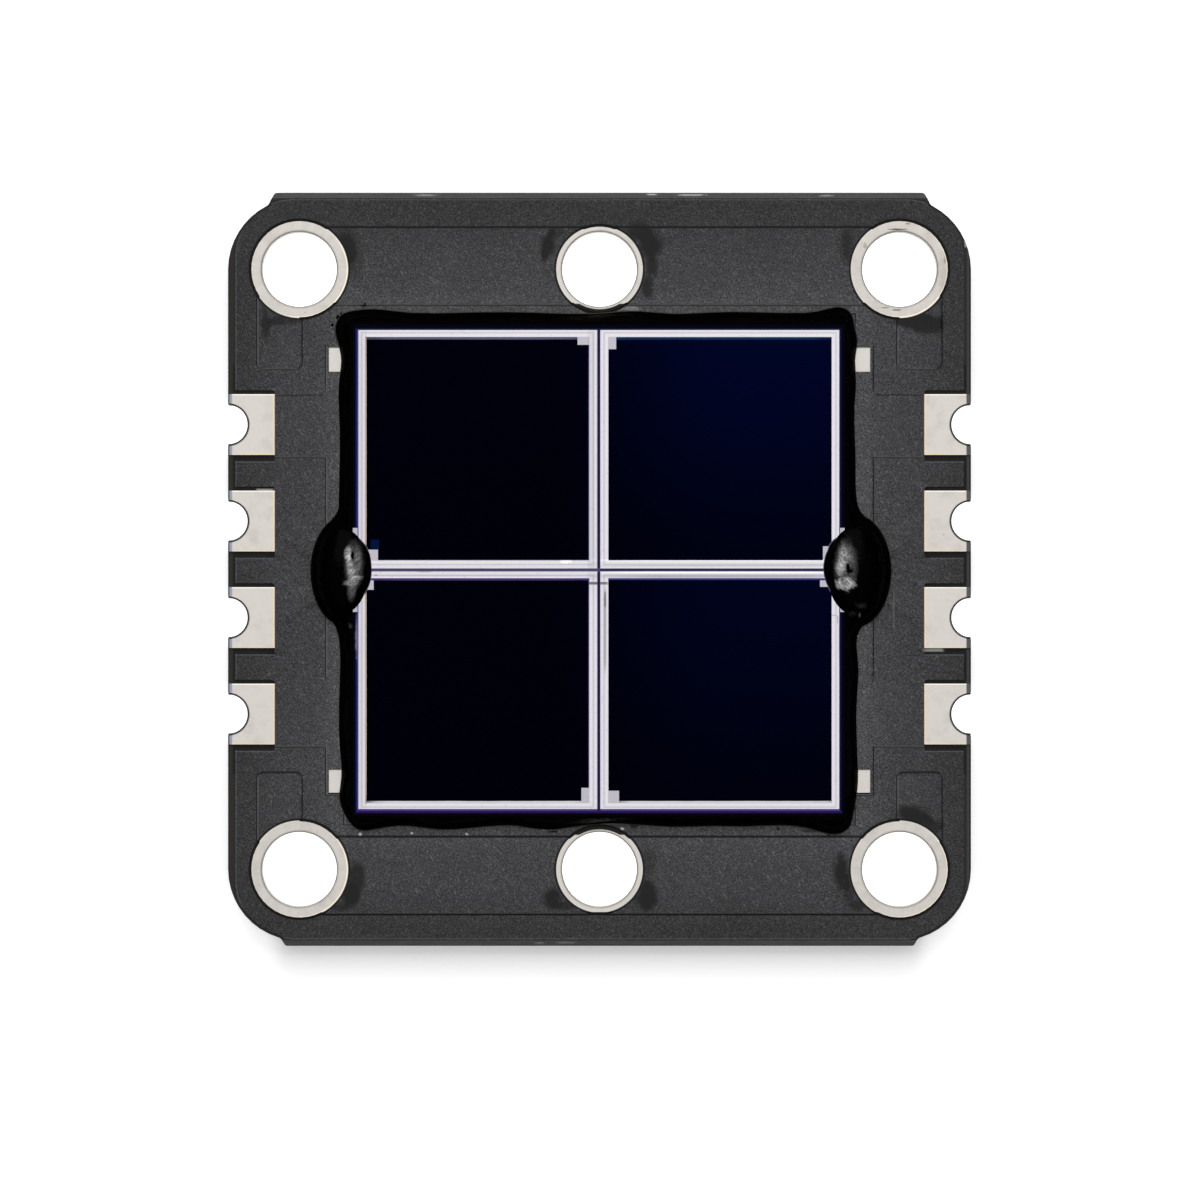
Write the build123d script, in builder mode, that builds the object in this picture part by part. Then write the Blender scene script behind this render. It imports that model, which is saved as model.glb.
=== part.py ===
from build123d import *
import os
from math import atan, degrees

os.makedirs("parts", exist_ok=True)

# A four-quadrant silicon photodiode on a small castellated circuit board, in millimetres.
# The back pads stand on z = 0, +Z looks out of the light-sensitive face, and the origin is the
# middle of the board. Everything is laid out from the die outwards.

# Silicon die, bonded a little off the middle of the board
die_size = 10.18
die_thickness = 0.30
die_shift = (-0.015, -0.015)
attach_thickness = 0.04
attach_inset = 0.06

# Metal on the die: four frames, each round one light-sensitive window
die_border = 0.10
frame_width = 0.17
quadrant_gap = 0.06
frame_film = 0.02
window_film = 0.01
contact_length = 1.74

# Board thickness over the copper of both faces, and its layers
board_thickness = 1.00
copper_thickness = 0.045
mask_thickness = 0.030
mask_over_copper = 0.020
plating_thickness = 0.030

# Six plated holes, at the corners and at the middle of the top and bottom edges
hole_offset = 1.13
hole_radius = 0.775
hole_rim_bevel = 0.03
corner_ring_width = 0.22
middle_ring_width = 0.105
ring_mask_gap = 0.06

# Board outline: routed sides and corners, and V-scored top and bottom edges that were snapped
corner_radius = 1.48
score_lip = 0.115
score_run = 0.125
score_depth = 0.33
score_inset_top = 0.965
score_inset_bottom = 1.18
score_flare = 0.5
score_tip_fillet = 0.07
score_root_fillet = 0.12

# Solder mask outline, inside the board's edges
mask_inset_side = 0.145
mask_inset_end = 0.135
mask_corner_radius = 1.21
mask_edge_gap = 0.055

# Half holes along both sides, with a pad round each on both faces
castellation_pitch = 2.0
castellation_radius = 0.45
pad_length = 0.97
pad_height = 1.26
pad_mask_gap = 0.08
pad_mask_fillet = 0.07

# Ground copper round the holes: a band between the three rings and a tab from each corner ring
# towards the middle. It was printed a little low against the drilled holes.
artwork_shift = -0.03
band_outer = 0.855
band_inner = 0.663
tab_outer = 0.825
tab_inner = 0.0
tab_reach = 1.995
tab_fillet = 0.09

# Cathode copper under the die
paddle_margin = 0.15
paddle_mask_margin = 0.09
plane_margin = 0.53
plane_half_height = 4.63
plane_fillet = 0.08
test_pad_margin = 0.52
test_pad_low = 4.125
test_pad_high = 4.625
leg_overlap = 0.20

# Anode tracks, from a bond land beside the die to one castellation each
land_size = 0.36
land_offset = 0.62
land_row = 0.33
land_mask_inset = 0.04
land_isolation = 0.12
stub_length = 0.10
track_width = 0.30

# Mask relief where it climbs over the copper
relief_lead = 0.02
relief_slope = 0.05
track_relief_slope = 0.14

# Bond wires
wire_radius = 0.0175
ball_radius = 0.042
ball_height = 0.024
wire_rise = 0.055
wire_loop = 0.11
ball_inset = 0.165
ball_row = 0.25

# Epoxy domes over the wires, leaning on the die's edge
dome_offset = 0.236
dome_drop = -0.036
dome_left_radii = (0.675, 1.125)
dome_right_radii = (0.742, 1.165)
dome_height = 0.60
dome_sink = 0.20
dome_lean = 14.0

# Heights
laminate_bottom = copper_thickness
laminate_top = board_thickness - copper_thickness
mask_low = laminate_top + mask_thickness
mask_high = board_thickness + mask_over_copper
relief_height = mask_high - mask_low
attach_top = board_thickness + attach_thickness
die_top = attach_top + die_thickness
frame_top = die_top + frame_film

# Places
hole_pitch = die_size + 2 * hole_offset
board_width = hole_pitch + 2 * corner_radius
board_height = board_width + 2 * score_lip
half_width = board_width / 2
half_height = board_height / 2
half_pitch = hole_pitch / 2
half_die = die_size / 2
corner_places = [(x * half_pitch, y * half_pitch) for x in (-1, 1) for y in (-1, 1)]
middle_places = [(0, y * half_pitch) for y in (-1, 1)]
rows = [(n - 1.5) * castellation_pitch for n in range(4)]
castellation_places = [(x * half_width, y) for x in (-1, 1) for y in rows]
pad_inner_edge = half_width - pad_length
corner_ring_radius = hole_radius + corner_ring_width
middle_ring_radius = hole_radius + middle_ring_width


# Label a finished piece and write it
def keep(name, builder):
    builder.part.label = name
    export_step(builder.part, f"parts/{name}.step")


# Board outline, seen from the front
with BuildSketch() as board_outline:
    RectangleRounded(board_width, board_width, corner_radius)
    for up, inset in ((1, score_inset_top), (-1, score_inset_bottom)):
        narrow = half_width - inset
        wide = narrow + score_flare * (half_height - half_pitch)
        root = half_pitch * up
        tip = half_height * up
        with BuildLine():
            Polyline((-wide, root), (-narrow, tip), (narrow, tip), (wide, root), close=True)
        make_face()
    tips = board_outline.vertices().filter_by(lambda v: abs(v.Y) > half_height - 0.001)
    fillet(tips, score_tip_fillet)
    roots = board_outline.vertices().filter_by(lambda v: half_width - 2 * score_lip < abs(v.Y) < half_width)
    fillet(roots, score_root_fillet)

# Laminate with its holes, half holes and scored edges
with BuildPart() as laminate:
    with BuildSketch(Plane.XY.offset(laminate_bottom)):
        add(board_outline.sketch)
    extrude(amount=laminate_top - laminate_bottom)
    with BuildSketch(Plane.YZ.offset(-board_width)):
        with BuildLine():
            Polyline(
                (half_height - score_run, laminate_bottom),
                (half_height, laminate_bottom + score_depth),
                (half_height, laminate_top - score_depth),
                (half_height - score_run, laminate_top),
                (score_run - half_height, laminate_top),
                (-half_height, laminate_top - score_depth),
                (-half_height, laminate_bottom + score_depth),
                (score_run - half_height, laminate_bottom),
                close=True,
            )
        make_face()
    extrude(amount=2 * board_width, mode=Mode.INTERSECT)
    with BuildSketch():
        with Locations(*corner_places, *middle_places):
            Circle(hole_radius + plating_thickness)
        with Locations(*castellation_places):
            Circle(castellation_radius + plating_thickness)
    extrude(amount=board_thickness, mode=Mode.SUBTRACT)
keep("laminate", laminate)


# Ground band and tabs at the top (up = 1) or the bottom (up = -1)
def ground_outline(up):
    band_middle = half_pitch + (band_outer - band_inner) / 2
    tab_middle = half_pitch + (tab_outer - tab_inner) / 2
    tab_end = half_pitch - tab_reach
    with BuildSketch() as outline:
        with Locations((0, up * band_middle + artwork_shift)):
            Rectangle(hole_pitch, band_outer + band_inner)
        for side in (-1, 1):
            with Locations((side * tab_middle, up * (half_pitch + tab_end) / 2 + artwork_shift)):
                Rectangle(tab_outer + tab_inner, tab_reach)
        ends = outline.vertices().filter_by(lambda v: abs(v.Y - up * tab_end - artwork_shift) < 0.001)
        fillet(ends, tab_fillet)
    return outline


# Ground copper: band and tabs on the front face, three plated barrels and a ring at each end of them
def ground_copper(up):
    corners = [(-half_pitch, up * half_pitch), (half_pitch, up * half_pitch)]
    with BuildPart() as copper:
        with BuildSketch(Plane.XY.offset(laminate_top)):
            add(ground_outline(up).sketch)
        extrude(amount=copper_thickness)
        for height in (0, laminate_top):
            with BuildSketch(Plane.XY.offset(height)):
                with Locations(*corners):
                    Circle(corner_ring_radius)
                with Locations((0, up * half_pitch)):
                    Circle(middle_ring_radius)
            extrude(amount=copper_thickness)
        with BuildSketch():
            with Locations(*corners, (0, up * half_pitch)):
                Circle(hole_radius + plating_thickness)
        extrude(amount=board_thickness)
        with BuildSketch():
            with Locations(*corners, (0, up * half_pitch)):
                Circle(hole_radius)
        extrude(amount=board_thickness, mode=Mode.SUBTRACT)
        rims = copper.edges().filter_by(GeomType.CIRCLE)
        rims = rims.filter_by(lambda e: abs(e.radius - hole_radius) < 0.001).group_by(Axis.Z)[-1]
        chamfer(rims, hole_rim_bevel)
    return copper


ground_copper_upper = ground_copper(1)
keep("ground_copper_upper", ground_copper_upper)
ground_copper_lower = ground_copper(-1)
keep("ground_copper_lower", ground_copper_lower)


# A castellation: pads on both faces and the plated half hole between them
def castellation(x, y):
    side = 1 if x > 0 else -1
    with BuildPart() as copper:
        for height in (0, laminate_top):
            with BuildSketch(Plane.XY.offset(height)):
                with Locations((x - side * pad_length / 2, y)):
                    Rectangle(pad_length, pad_height)
            extrude(amount=copper_thickness)
        with BuildSketch():
            with Locations((x, y)):
                Circle(castellation_radius + plating_thickness)
            with Locations((x - side * pad_length / 2, y)):
                Rectangle(pad_length, pad_height, mode=Mode.INTERSECT)
        extrude(amount=board_thickness)
        with BuildSketch():
            with Locations((x, y)):
                Circle(castellation_radius)
        extrude(amount=board_thickness, mode=Mode.SUBTRACT)
    return copper.part


castellations = {place: castellation(*place) for place in castellation_places}

# Cathode copper outline: the paddle under the die, a wider plane beside it and four legs
with BuildSketch() as cathode_outline:
    paddle = die_size + 2 * paddle_margin
    plane_half_width = half_die + plane_margin
    Rectangle(paddle, paddle)
    Rectangle(2 * plane_half_width, 2 * plane_half_height)
    leg_start = plane_half_width - leg_overlap
    leg_end = half_width - pad_length / 2
    for side in (-1, 1):
        for row in (rows[0], rows[3]):
            with Locations((side * (leg_start + leg_end) / 2, row)):
                Rectangle(leg_end - leg_start, pad_height)
    inner_corners = cathode_outline.vertices().filter_by(
        lambda v: abs(abs(v.X) - plane_half_width) < 0.001 and abs(v.Y) < plane_half_height - 0.001
    )
    fillet(inner_corners, plane_fillet)
    land_inner_edge = half_die + land_offset - land_size / 2
    isolation_start = land_inner_edge - land_isolation
    isolation_width = plane_half_width - isolation_start
    for side in (-1, 1):
        with Locations((side * (isolation_start + isolation_width / 2), 0)):
            Rectangle(isolation_width, 2 * (land_row + land_size / 2 + land_isolation), mode=Mode.SUBTRACT)

with BuildPart() as cathode_copper:
    with BuildSketch(Plane.XY.offset(laminate_top)):
        add(cathode_outline.sketch)
    extrude(amount=copper_thickness)
    for place in castellation_places:
        if place[1] in (rows[0], rows[3]):
            add(castellations[place])
    with BuildSketch():
        with Locations(*castellation_places):
            Circle(castellation_radius)
    extrude(amount=board_thickness, mode=Mode.SUBTRACT)
keep("cathode_copper", cathode_copper)


# Anode outline: the pad or only its stub, a slanting track and the bond land
def anode_outline(side, up, pad):
    row = up * castellation_pitch / 2
    stub_end = pad_inner_edge - stub_length
    land_x = half_die + land_offset
    land_y = up * land_row
    with BuildSketch() as outline:
        with Locations((side * (stub_end + (stub_length + pad) / 2), row)):
            Rectangle(stub_length + pad, pad_height)
        with BuildLine():
            Polyline(
                (side * (stub_end + track_width / 2), row + track_width / 2),
                (side * land_x, land_y + track_width / 2),
                (side * land_x, land_y - track_width / 2),
                (side * (stub_end + track_width / 2), row - track_width / 2),
                close=True,
            )
        make_face()
        with Locations((side * land_x, land_y)):
            Rectangle(land_size, land_size)
    return outline


anode_tracks = {}
for side, side_name in ((-1, "left"), (1, "right")):
    for up, row_name in ((1, "upper"), (-1, "lower")):
        with BuildPart() as anode_track:
            with BuildSketch(Plane.XY.offset(laminate_top)):
                add(anode_outline(side, up, pad_length).sketch)
            extrude(amount=copper_thickness)
            add(castellations[side * half_width, up * castellation_pitch / 2])
            with BuildSketch():
                with Locations((side * half_width, up * castellation_pitch / 2)):
                    Circle(castellation_radius)
            extrude(amount=board_thickness, mode=Mode.SUBTRACT)
        anode_tracks[side, up] = anode_track
        keep(f"anode_track_{side_name}_{row_name}", anode_track)

# Solder mask outline, clear of the routed edges
with BuildSketch() as mask_outline:
    RectangleRounded(
        board_width - 2 * mask_inset_side, board_height - 2 * mask_inset_end, mask_corner_radius
    )
    with BuildSketch(mode=Mode.INTERSECT):
        add(board_outline.sketch)
        offset(amount=-mask_edge_gap)


# Openings in either mask: round the six rings and round the castellation pads
def add_ring_and_pad_openings():
    with Locations(*corner_places):
        Circle(corner_ring_radius + ring_mask_gap)
    with Locations(*middle_places):
        Circle(middle_ring_radius + ring_mask_gap)
    with Locations(*castellation_places):
        RectangleRounded(2 * pad_length, pad_height + 2 * pad_mask_gap, pad_mask_fillet)


# Copper outlines that the front mask climbs over, with the width of the slope there
reliefs = [
    (ground_outline(1), relief_slope),
    (ground_outline(-1), relief_slope),
    (cathode_outline, relief_slope),
]
for side, up in anode_tracks:
    reliefs.append((anode_outline(side, up, 0), track_relief_slope))

with BuildPart() as solder_mask_front:
    with BuildSketch(Plane.XY.offset(laminate_top)):
        add(mask_outline.sketch)
    extrude(amount=mask_thickness)
    for outline, slope in reliefs:
        with BuildSketch(Plane.XY.offset(mask_low)):
            add(outline.sketch)
            offset(amount=relief_lead + slope, kind=Kind.INTERSECTION)
        extrude(amount=relief_height, taper=degrees(atan(slope / relief_height)))
    with BuildSketch(Plane.XY.offset(laminate_top)):
        add_ring_and_pad_openings()
        opening = die_size + 2 * paddle_mask_margin
        Rectangle(opening, opening)
        for up in (-1, 1):
            with Locations((0, up * (test_pad_low + test_pad_high) / 2 + artwork_shift)):
                Rectangle(die_size + 2 * test_pad_margin, test_pad_high - test_pad_low)
            for side in (-1, 1):
                with Locations((side * (half_die + land_offset), up * land_row)):
                    Rectangle(land_size - 2 * land_mask_inset, land_size - 2 * land_mask_inset)
    extrude(amount=2 * board_thickness, mode=Mode.SUBTRACT)
    copper = [ground_copper_upper, ground_copper_lower, cathode_copper, *anode_tracks.values()]
    add([piece.part for piece in copper], mode=Mode.SUBTRACT)
keep("solder_mask_front", solder_mask_front)

with BuildPart() as solder_mask_back:
    with BuildSketch(Plane.XY.offset(laminate_bottom - mask_thickness)):
        add(mask_outline.sketch)
        with BuildSketch(mode=Mode.SUBTRACT):
            add_ring_and_pad_openings()
    extrude(amount=mask_thickness)
keep("solder_mask_back", solder_mask_back)

# Die and the adhesive under it
with BuildPart() as die_attach:
    with BuildSketch(Plane.XY.offset(board_thickness)):
        with Locations(die_shift):
            Rectangle(die_size - 2 * attach_inset, die_size - 2 * attach_inset)
    extrude(amount=attach_thickness)
keep("die_attach", die_attach)

with BuildPart() as silicon_die:
    with BuildSketch(Plane.XY.offset(attach_top)):
        with Locations(die_shift):
            Rectangle(die_size, die_size)
    extrude(amount=die_thickness)
keep("silicon_die", silicon_die)

# Bond pads in two corners of each window: width and height of the one at the die's middle line,
# then of the one at the die's side, where the wires are
bond_pads = {
    (-1, 1): ((0.24, 0.16), (0.25, 0.22)),
    (1, 1): ((0.16, 0.25), (0.18, 0.29)),
    (-1, -1): ((0.16, 0.31), (0.16, 0.21)),
    (1, -1): ((0.22, 0.25), (0.24, 0.15)),
}
quadrant = half_die - die_border - quadrant_gap / 2
window = quadrant - 2 * frame_width
for (side, up), (middle_pad, side_pad) in bond_pads.items():
    quadrant_x = die_shift[0] + side * (quadrant_gap + quadrant) / 2
    quadrant_y = die_shift[1] + up * (quadrant_gap + quadrant) / 2
    with BuildSketch() as bond_pad_areas:
        for (pad_width, pad_rise), toward_x, toward_y in ((middle_pad, -side, up), (side_pad, side, -up)):
            pad_x = quadrant_x + toward_x * (window - pad_width) / 2
            pad_y = quadrant_y + toward_y * (window - pad_rise) / 2
            with Locations((pad_x, pad_y)):
                Rectangle(pad_width, pad_rise)
    with BuildPart() as active_window:
        with BuildSketch(Plane.XY.offset(die_top)):
            with Locations((quadrant_x, quadrant_y)):
                Rectangle(window, window)
            add(bond_pad_areas.sketch, mode=Mode.SUBTRACT)
        extrude(amount=window_film)
    with BuildPart() as anode_frame:
        with BuildSketch(Plane.XY.offset(die_top)):
            with Locations((quadrant_x, quadrant_y)):
                Rectangle(quadrant, quadrant)
                Rectangle(window, window, mode=Mode.SUBTRACT)
            add(bond_pad_areas.sketch)
        extrude(amount=frame_film)
    corner = f"{'upper' if up > 0 else 'lower'}_{'left' if side < 0 else 'right'}"
    keep(f"active_window_{corner}", active_window)
    keep(f"anode_frame_{corner}", anode_frame)

for side, side_name in ((-1, "left"), (1, "right")):
    with BuildPart() as edge_contact:
        with BuildSketch(Plane.XY.offset(die_top)):
            with Locations((die_shift[0] + side * (half_die - die_border / 2), die_shift[1])):
                Rectangle(die_border, contact_length)
        extrude(amount=frame_film)
    keep(f"edge_contact_{side_name}", edge_contact)

# Bond wires: a ball on the die's pad, a low kinked loop over the die's edge and a stitch on the land
bond_wires = {}
for side, side_name in ((-1, "left"), (1, "right")):
    for up, row_name in ((1, "upper"), (-1, "lower")):
        ball_x = die_shift[0] + side * (half_die - ball_inset)
        ball_y = die_shift[1] + up * ball_row
        land_x = side * (half_die + land_offset)
        land_y = up * land_row
        edge_x = side * (half_die + 2 * wire_rise)
        with BuildPart() as bond_wire:
            with BuildSketch(Plane.XY.offset(frame_top)):
                with Locations((ball_x, ball_y)):
                    RegularPolygon(ball_radius, 16)
            extrude(amount=ball_height)
            with BuildLine() as route:
                Polyline(
                    (ball_x, ball_y, frame_top + ball_height / 2),
                    (ball_x, ball_y, frame_top + wire_rise),
                    ((ball_x + edge_x) / 2, (ball_y + land_y) / 2, frame_top + wire_loop),
                    (edge_x, (ball_y + land_y) / 2, frame_top + wire_rise),
                    (land_x, land_y, board_thickness),
                )
            with BuildSketch(Plane(route.line @ 0, z_dir=route.line % 0)):
                RegularPolygon(wire_radius, 8)
            sweep(path=route.line, transition=Transition.RIGHT)
            with BuildSketch():
                with Locations((land_x, land_y)):
                    Rectangle(land_size, land_size)
            extrude(amount=board_thickness, mode=Mode.SUBTRACT)
        bond_wires[side, up] = bond_wire
        keep(f"bond_wire_{side_name}_{row_name}", bond_wire)

# Black bead round the die. Each side lists places along it, from -1 to 1, with the bead's width
# there; each corner gives how far the bead stands out across and up.
bead_top = [
    (-1.0, 0.30), (-0.90, 0.33), (-0.79, 0.27), (-0.64, 0.25), (-0.48, 0.27), (-0.20, 0.25),
    (0.0, 0.24), (0.15, 0.29), (0.28, 0.24), (0.49, 0.27), (0.78, 0.25), (0.91, 0.31), (0.99, 0.37),
]
bead_right = [
    (0.99, 0.22), (0.94, 0.28), (0.87, 0.235), (0.76, 0.255), (0.69, 0.23), (0.45, 0.245), (0.29, 0.27),
    (0.24, 0.35), (0.20, 0.54), (0.08, 0.66), (-0.08, 0.66), (-0.20, 0.50), (-0.24, 0.35), (-0.29, 0.27),
    (-0.37, 0.30), (-0.55, 0.265), (-0.93, 0.255), (-0.99, 0.20),
]
bead_bottom = [
    (0.99, 0.37), (0.87, 0.30), (0.73, 0.21), (0.60, 0.235), (0.46, 0.225), (0.34, 0.245), (0.18, 0.205),
    (0.0, 0.18), (-0.13, 0.27), (-0.21, 0.305), (-0.34, 0.22), (-0.49, 0.255), (-0.66, 0.295),
    (-0.79, 0.22), (-0.91, 0.295), (-0.98, 0.30),
]
bead_left = [
    (-0.98, 0.22), (-0.94, 0.29), (-0.85, 0.255), (-0.74, 0.285), (-0.47, 0.295), (-0.30, 0.30),
    (-0.235, 0.38), (-0.19, 0.52), (-0.08, 0.62), (0.08, 0.62), (0.19, 0.53), (0.235, 0.35),
    (0.29, 0.31), (0.58, 0.295), (0.70, 0.32), (0.78, 0.30), (0.85, 0.255), (0.92, 0.32), (0.98, 0.39),
]
bead_corners = [(0.13, 0.25), (0.11, 0.24), (0.05, 0.17), (0.25, 0.20)]
bead_levels = [(0.0, 1.0), (0.5, 0.72), (0.93, 0.22)]


# One level of the bead: the share of its full width that it still has there
def bead_outline(share):
    points = [(x * half_die, half_die + share * width) for x, width in bead_top]
    points.append((half_die + share * bead_corners[0][0], half_die + share * bead_corners[0][1]))
    points += [(half_die + share * width, y * half_die) for y, width in bead_right]
    points.append((half_die + share * bead_corners[1][0], -half_die - share * bead_corners[1][1]))
    points += [(x * half_die, -half_die - share * width) for x, width in bead_bottom]
    points.append((-half_die - share * bead_corners[2][0], -half_die - share * bead_corners[2][1]))
    points += [(-half_die - share * width, y * half_die) for y, width in bead_left]
    points.append((-half_die - share * bead_corners[3][0], half_die + share * bead_corners[3][1]))
    return [(x + die_shift[0], y + die_shift[1]) for x, y in points]


with BuildPart() as die_edge_seal:
    for rise, share in bead_levels:
        with BuildSketch(Plane.XY.offset(mask_low + rise * (die_top - mask_low))):
            with BuildLine():
                Spline(*bead_outline(share), periodic=True)
            make_face()
    loft()
    for piece in (silicon_die, die_attach, cathode_copper, solder_mask_front):
        add(piece.part, mode=Mode.SUBTRACT)
    for piece in (*anode_tracks.values(), *bond_wires.values()):
        add(piece.part, mode=Mode.SUBTRACT)
keep("die_edge_seal", die_edge_seal)

# Black epoxy domes over the wires, each an ellipsoid cap leaning on the die's edge
for side, side_name, radii in ((-1, "left", dome_left_radii), (1, "right", dome_right_radii)):
    with BuildPart() as glob_top:
        Sphere(1)
        scale(by=(radii[0], radii[1], dome_height))
    dome_middle = (side * (half_die + dome_offset), dome_drop, (mask_high + die_top) / 2 - dome_sink)
    dome = Location(dome_middle, (0, side * dome_lean, 0)) * glob_top.part
    with BuildPart() as glob_top:
        add(dome)
        with BuildSketch(Plane.XY.offset(attach_top)):
            with Locations(die_shift):
                Rectangle(die_size, die_size)
        extrude(amount=frame_top - attach_top, mode=Mode.SUBTRACT)
        for piece in (laminate, solder_mask_front, cathode_copper, die_attach, die_edge_seal):
            add(piece.part, mode=Mode.SUBTRACT)
        for up in (-1, 1):
            add(anode_tracks[side, up].part, mode=Mode.SUBTRACT)
            add(bond_wires[side, up].part, mode=Mode.SUBTRACT)
    keep(f"glob_top_{side_name}", glob_top)
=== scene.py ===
# A four-quadrant photodiode on its castellated board, dressed and lit as in its photo
import math

import bpy
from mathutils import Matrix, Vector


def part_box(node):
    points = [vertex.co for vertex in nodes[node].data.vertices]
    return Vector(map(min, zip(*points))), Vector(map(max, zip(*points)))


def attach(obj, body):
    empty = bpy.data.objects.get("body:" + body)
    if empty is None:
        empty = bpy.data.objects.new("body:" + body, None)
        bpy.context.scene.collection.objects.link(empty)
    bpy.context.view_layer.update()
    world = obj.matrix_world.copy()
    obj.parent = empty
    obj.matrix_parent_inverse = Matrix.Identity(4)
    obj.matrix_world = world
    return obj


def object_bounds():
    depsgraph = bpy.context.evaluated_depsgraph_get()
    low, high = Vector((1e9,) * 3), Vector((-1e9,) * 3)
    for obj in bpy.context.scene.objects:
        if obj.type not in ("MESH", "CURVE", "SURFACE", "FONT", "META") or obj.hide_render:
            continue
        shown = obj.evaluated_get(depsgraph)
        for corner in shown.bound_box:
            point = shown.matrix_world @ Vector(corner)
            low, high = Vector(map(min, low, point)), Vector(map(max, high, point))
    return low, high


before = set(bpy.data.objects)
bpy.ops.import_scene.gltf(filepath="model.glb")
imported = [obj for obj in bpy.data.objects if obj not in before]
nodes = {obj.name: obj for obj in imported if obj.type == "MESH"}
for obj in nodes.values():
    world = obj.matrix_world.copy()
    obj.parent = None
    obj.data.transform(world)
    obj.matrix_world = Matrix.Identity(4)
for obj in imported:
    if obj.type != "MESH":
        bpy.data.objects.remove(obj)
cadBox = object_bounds()
mm = 0.001
print("stage: frame loaded,", len(nodes), "nodes")

# Sizes that the skins are fitted to, from the CAD's boxes and its drawing
board = {
    "maskTop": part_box("solder_mask_front")[1].z,
    "right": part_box("laminate")[1].x,
    "top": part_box("laminate")[1].y,
    "dieTop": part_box("silicon_die")[1].z,
    "holePitch": 6.22 * mm,  # from the board's middle to the holes' middles
    "holeRadius": 0.775 * mm,
    "cornerRing": 0.995 * mm,
    "middleRing": 0.88 * mm,
    "halfHole": 0.45 * mm,
    "castellationPitch": 2.0 * mm,
    "rowHalf": 4.25 * mm,  # the half holes' row lies within this, either way from the middle
}
quadrantLow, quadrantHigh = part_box("anode_frame_upper_right")
dieLow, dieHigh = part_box("silicon_die")
quadrant = {
    "middle": (quadrantLow.x + quadrantHigh.x) / 2,  # the same along X and Y
    "half": (quadrantHigh.x - quadrantLow.x) / 2,
    "frameWidth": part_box("active_window_upper_right")[0].x - quadrantLow.x,
    "shift": (dieLow.x + dieHigh.x) / 2,
}
quadrant["fromMiddle"] = quadrant["middle"] - quadrant["shift"]
ringsByHole = {"Corner": "cornerRing", "Middle": "middleRing"}


class Nodes:
    # The nodes of one material, group or world
    def __init__(self, tree):
        self.tree = tree

    def wire(self, value, node, key):
        # The socket's key is its name or number
        socket = node.inputs[key]
        if isinstance(value, bpy.types.NodeSocket):
            self.tree.links.new(value, socket)
        elif socket.type == "RGBA":
            socket.default_value = (*value[:3], 1.0)
        else:
            socket.default_value = value

    def add(self, kind, **inputs):
        node = self.tree.nodes.new(kind)
        for name, value in inputs.items():
            self.wire(value, node, name)
        return node

    def use(self, group, **inputs):
        node = self.add("ShaderNodeGroup")
        node.node_tree = group
        for name, value in inputs.items():
            self.wire(value, node, name)
        return node.outputs

    def math(self, operation, first, second=0.0, clamp=False):
        node = self.tree.nodes.new("ShaderNodeMath")
        node.operation = operation
        node.use_clamp = clamp
        self.wire(first, node, 0)
        self.wire(second, node, 1)
        return node.outputs["Value"]

    def times(self, first, *others):
        for other in others:
            first = self.math("MULTIPLY", first, other)
        return first

    def plus(self, first, second):
        return self.math("ADD", first, second)

    def minus(self, first, second):
        return self.math("SUBTRACT", first, second)

    def most(self, first, second):
        return self.math("MAXIMUM", first, second)

    def size(self, value):
        return self.math("ABSOLUTE", value)

    def length(self, across, along):
        return self.math("SQRT", self.plus(self.times(across, across), self.times(along, along)))

    def vector(self, operation, first, second):
        node = self.tree.nodes.new("ShaderNodeVectorMath")
        node.operation = operation
        self.wire(first, node, 0)
        self.wire(second, node, "Scale" if operation == "SCALE" else 1)
        return node.outputs["Vector"]

    def split(self, vector):
        return self.add("ShaderNodeSeparateXYZ", Vector=vector).outputs

    def ramp(self, value, low, high, lowResult=0.0, highResult=1.0):
        # A smooth step from one value to another
        node = self.tree.nodes.new("ShaderNodeMapRange")
        node.interpolation_type = "SMOOTHSTEP"
        for index, part in enumerate((value, low, high, lowResult, highResult)):
            self.wire(part, node, index)
        return node.outputs["Result"]

    def within(self, value, edge, soft):
        # 1 below the edge and 0 above it, with a soft step between
        return self.ramp(value, edge + soft / 2, edge - soft / 2)

    def band(self, value, middle, half, soft):
        # 1 where the value is within half of the middle, with a soft edge
        return self.within(self.size(self.minus(value, middle)), half, soft)

    def mix(self, share, first, second):
        node = self.tree.nodes.new("ShaderNodeMix")
        node.data_type = "RGBA"
        for index, value in ((0, share), (6, first), (7, second)):
            self.wire(value, node, index)
        return node.outputs[2]

    def noise(self, vector, size, detail=2.0, roughness=0.5):
        scale = size if isinstance(size, bpy.types.NodeSocket) else 1.0 / size
        node = self.add("ShaderNodeTexNoise", Vector=vector, Scale=scale)
        self.wire(detail, node, "Detail")
        self.wire(roughness, node, "Roughness")
        return node.outputs["Fac"]

    def streaks(self, vector, size, turn):
        # Noise drawn out along one direction: size across, along and deep, turn in degrees
        rotation = (0, 0, math.radians(turn))
        stretch = self.add("ShaderNodeMapping", Vector=vector, Rotation=rotation, Scale=size)
        stretch.vector_type = "TEXTURE"
        return self.noise(stretch.outputs["Vector"], 1.0)


class Group(Nodes):
    # A node group with its inputs given by name
    def __init__(self, name, **inputs):
        super().__init__(bpy.data.node_groups.new(name, "ShaderNodeTree"))
        for label, value in inputs.items():
            kind = "NodeSocketVector" if isinstance(value, tuple) else "NodeSocketFloat"
            socket = self.tree.interface.new_socket(label, in_out="INPUT", socket_type=kind)
            socket.default_value = value
        self.given = self.add("NodeGroupInput").outputs

    def close(self, **results):
        for label in results:
            self.tree.interface.new_socket(label, in_out="OUTPUT", socket_type="NodeSocketFloat")
        end = self.add("NodeGroupOutput")
        for label, value in results.items():
            self.wire(value, end, label)
        return self.tree


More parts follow.
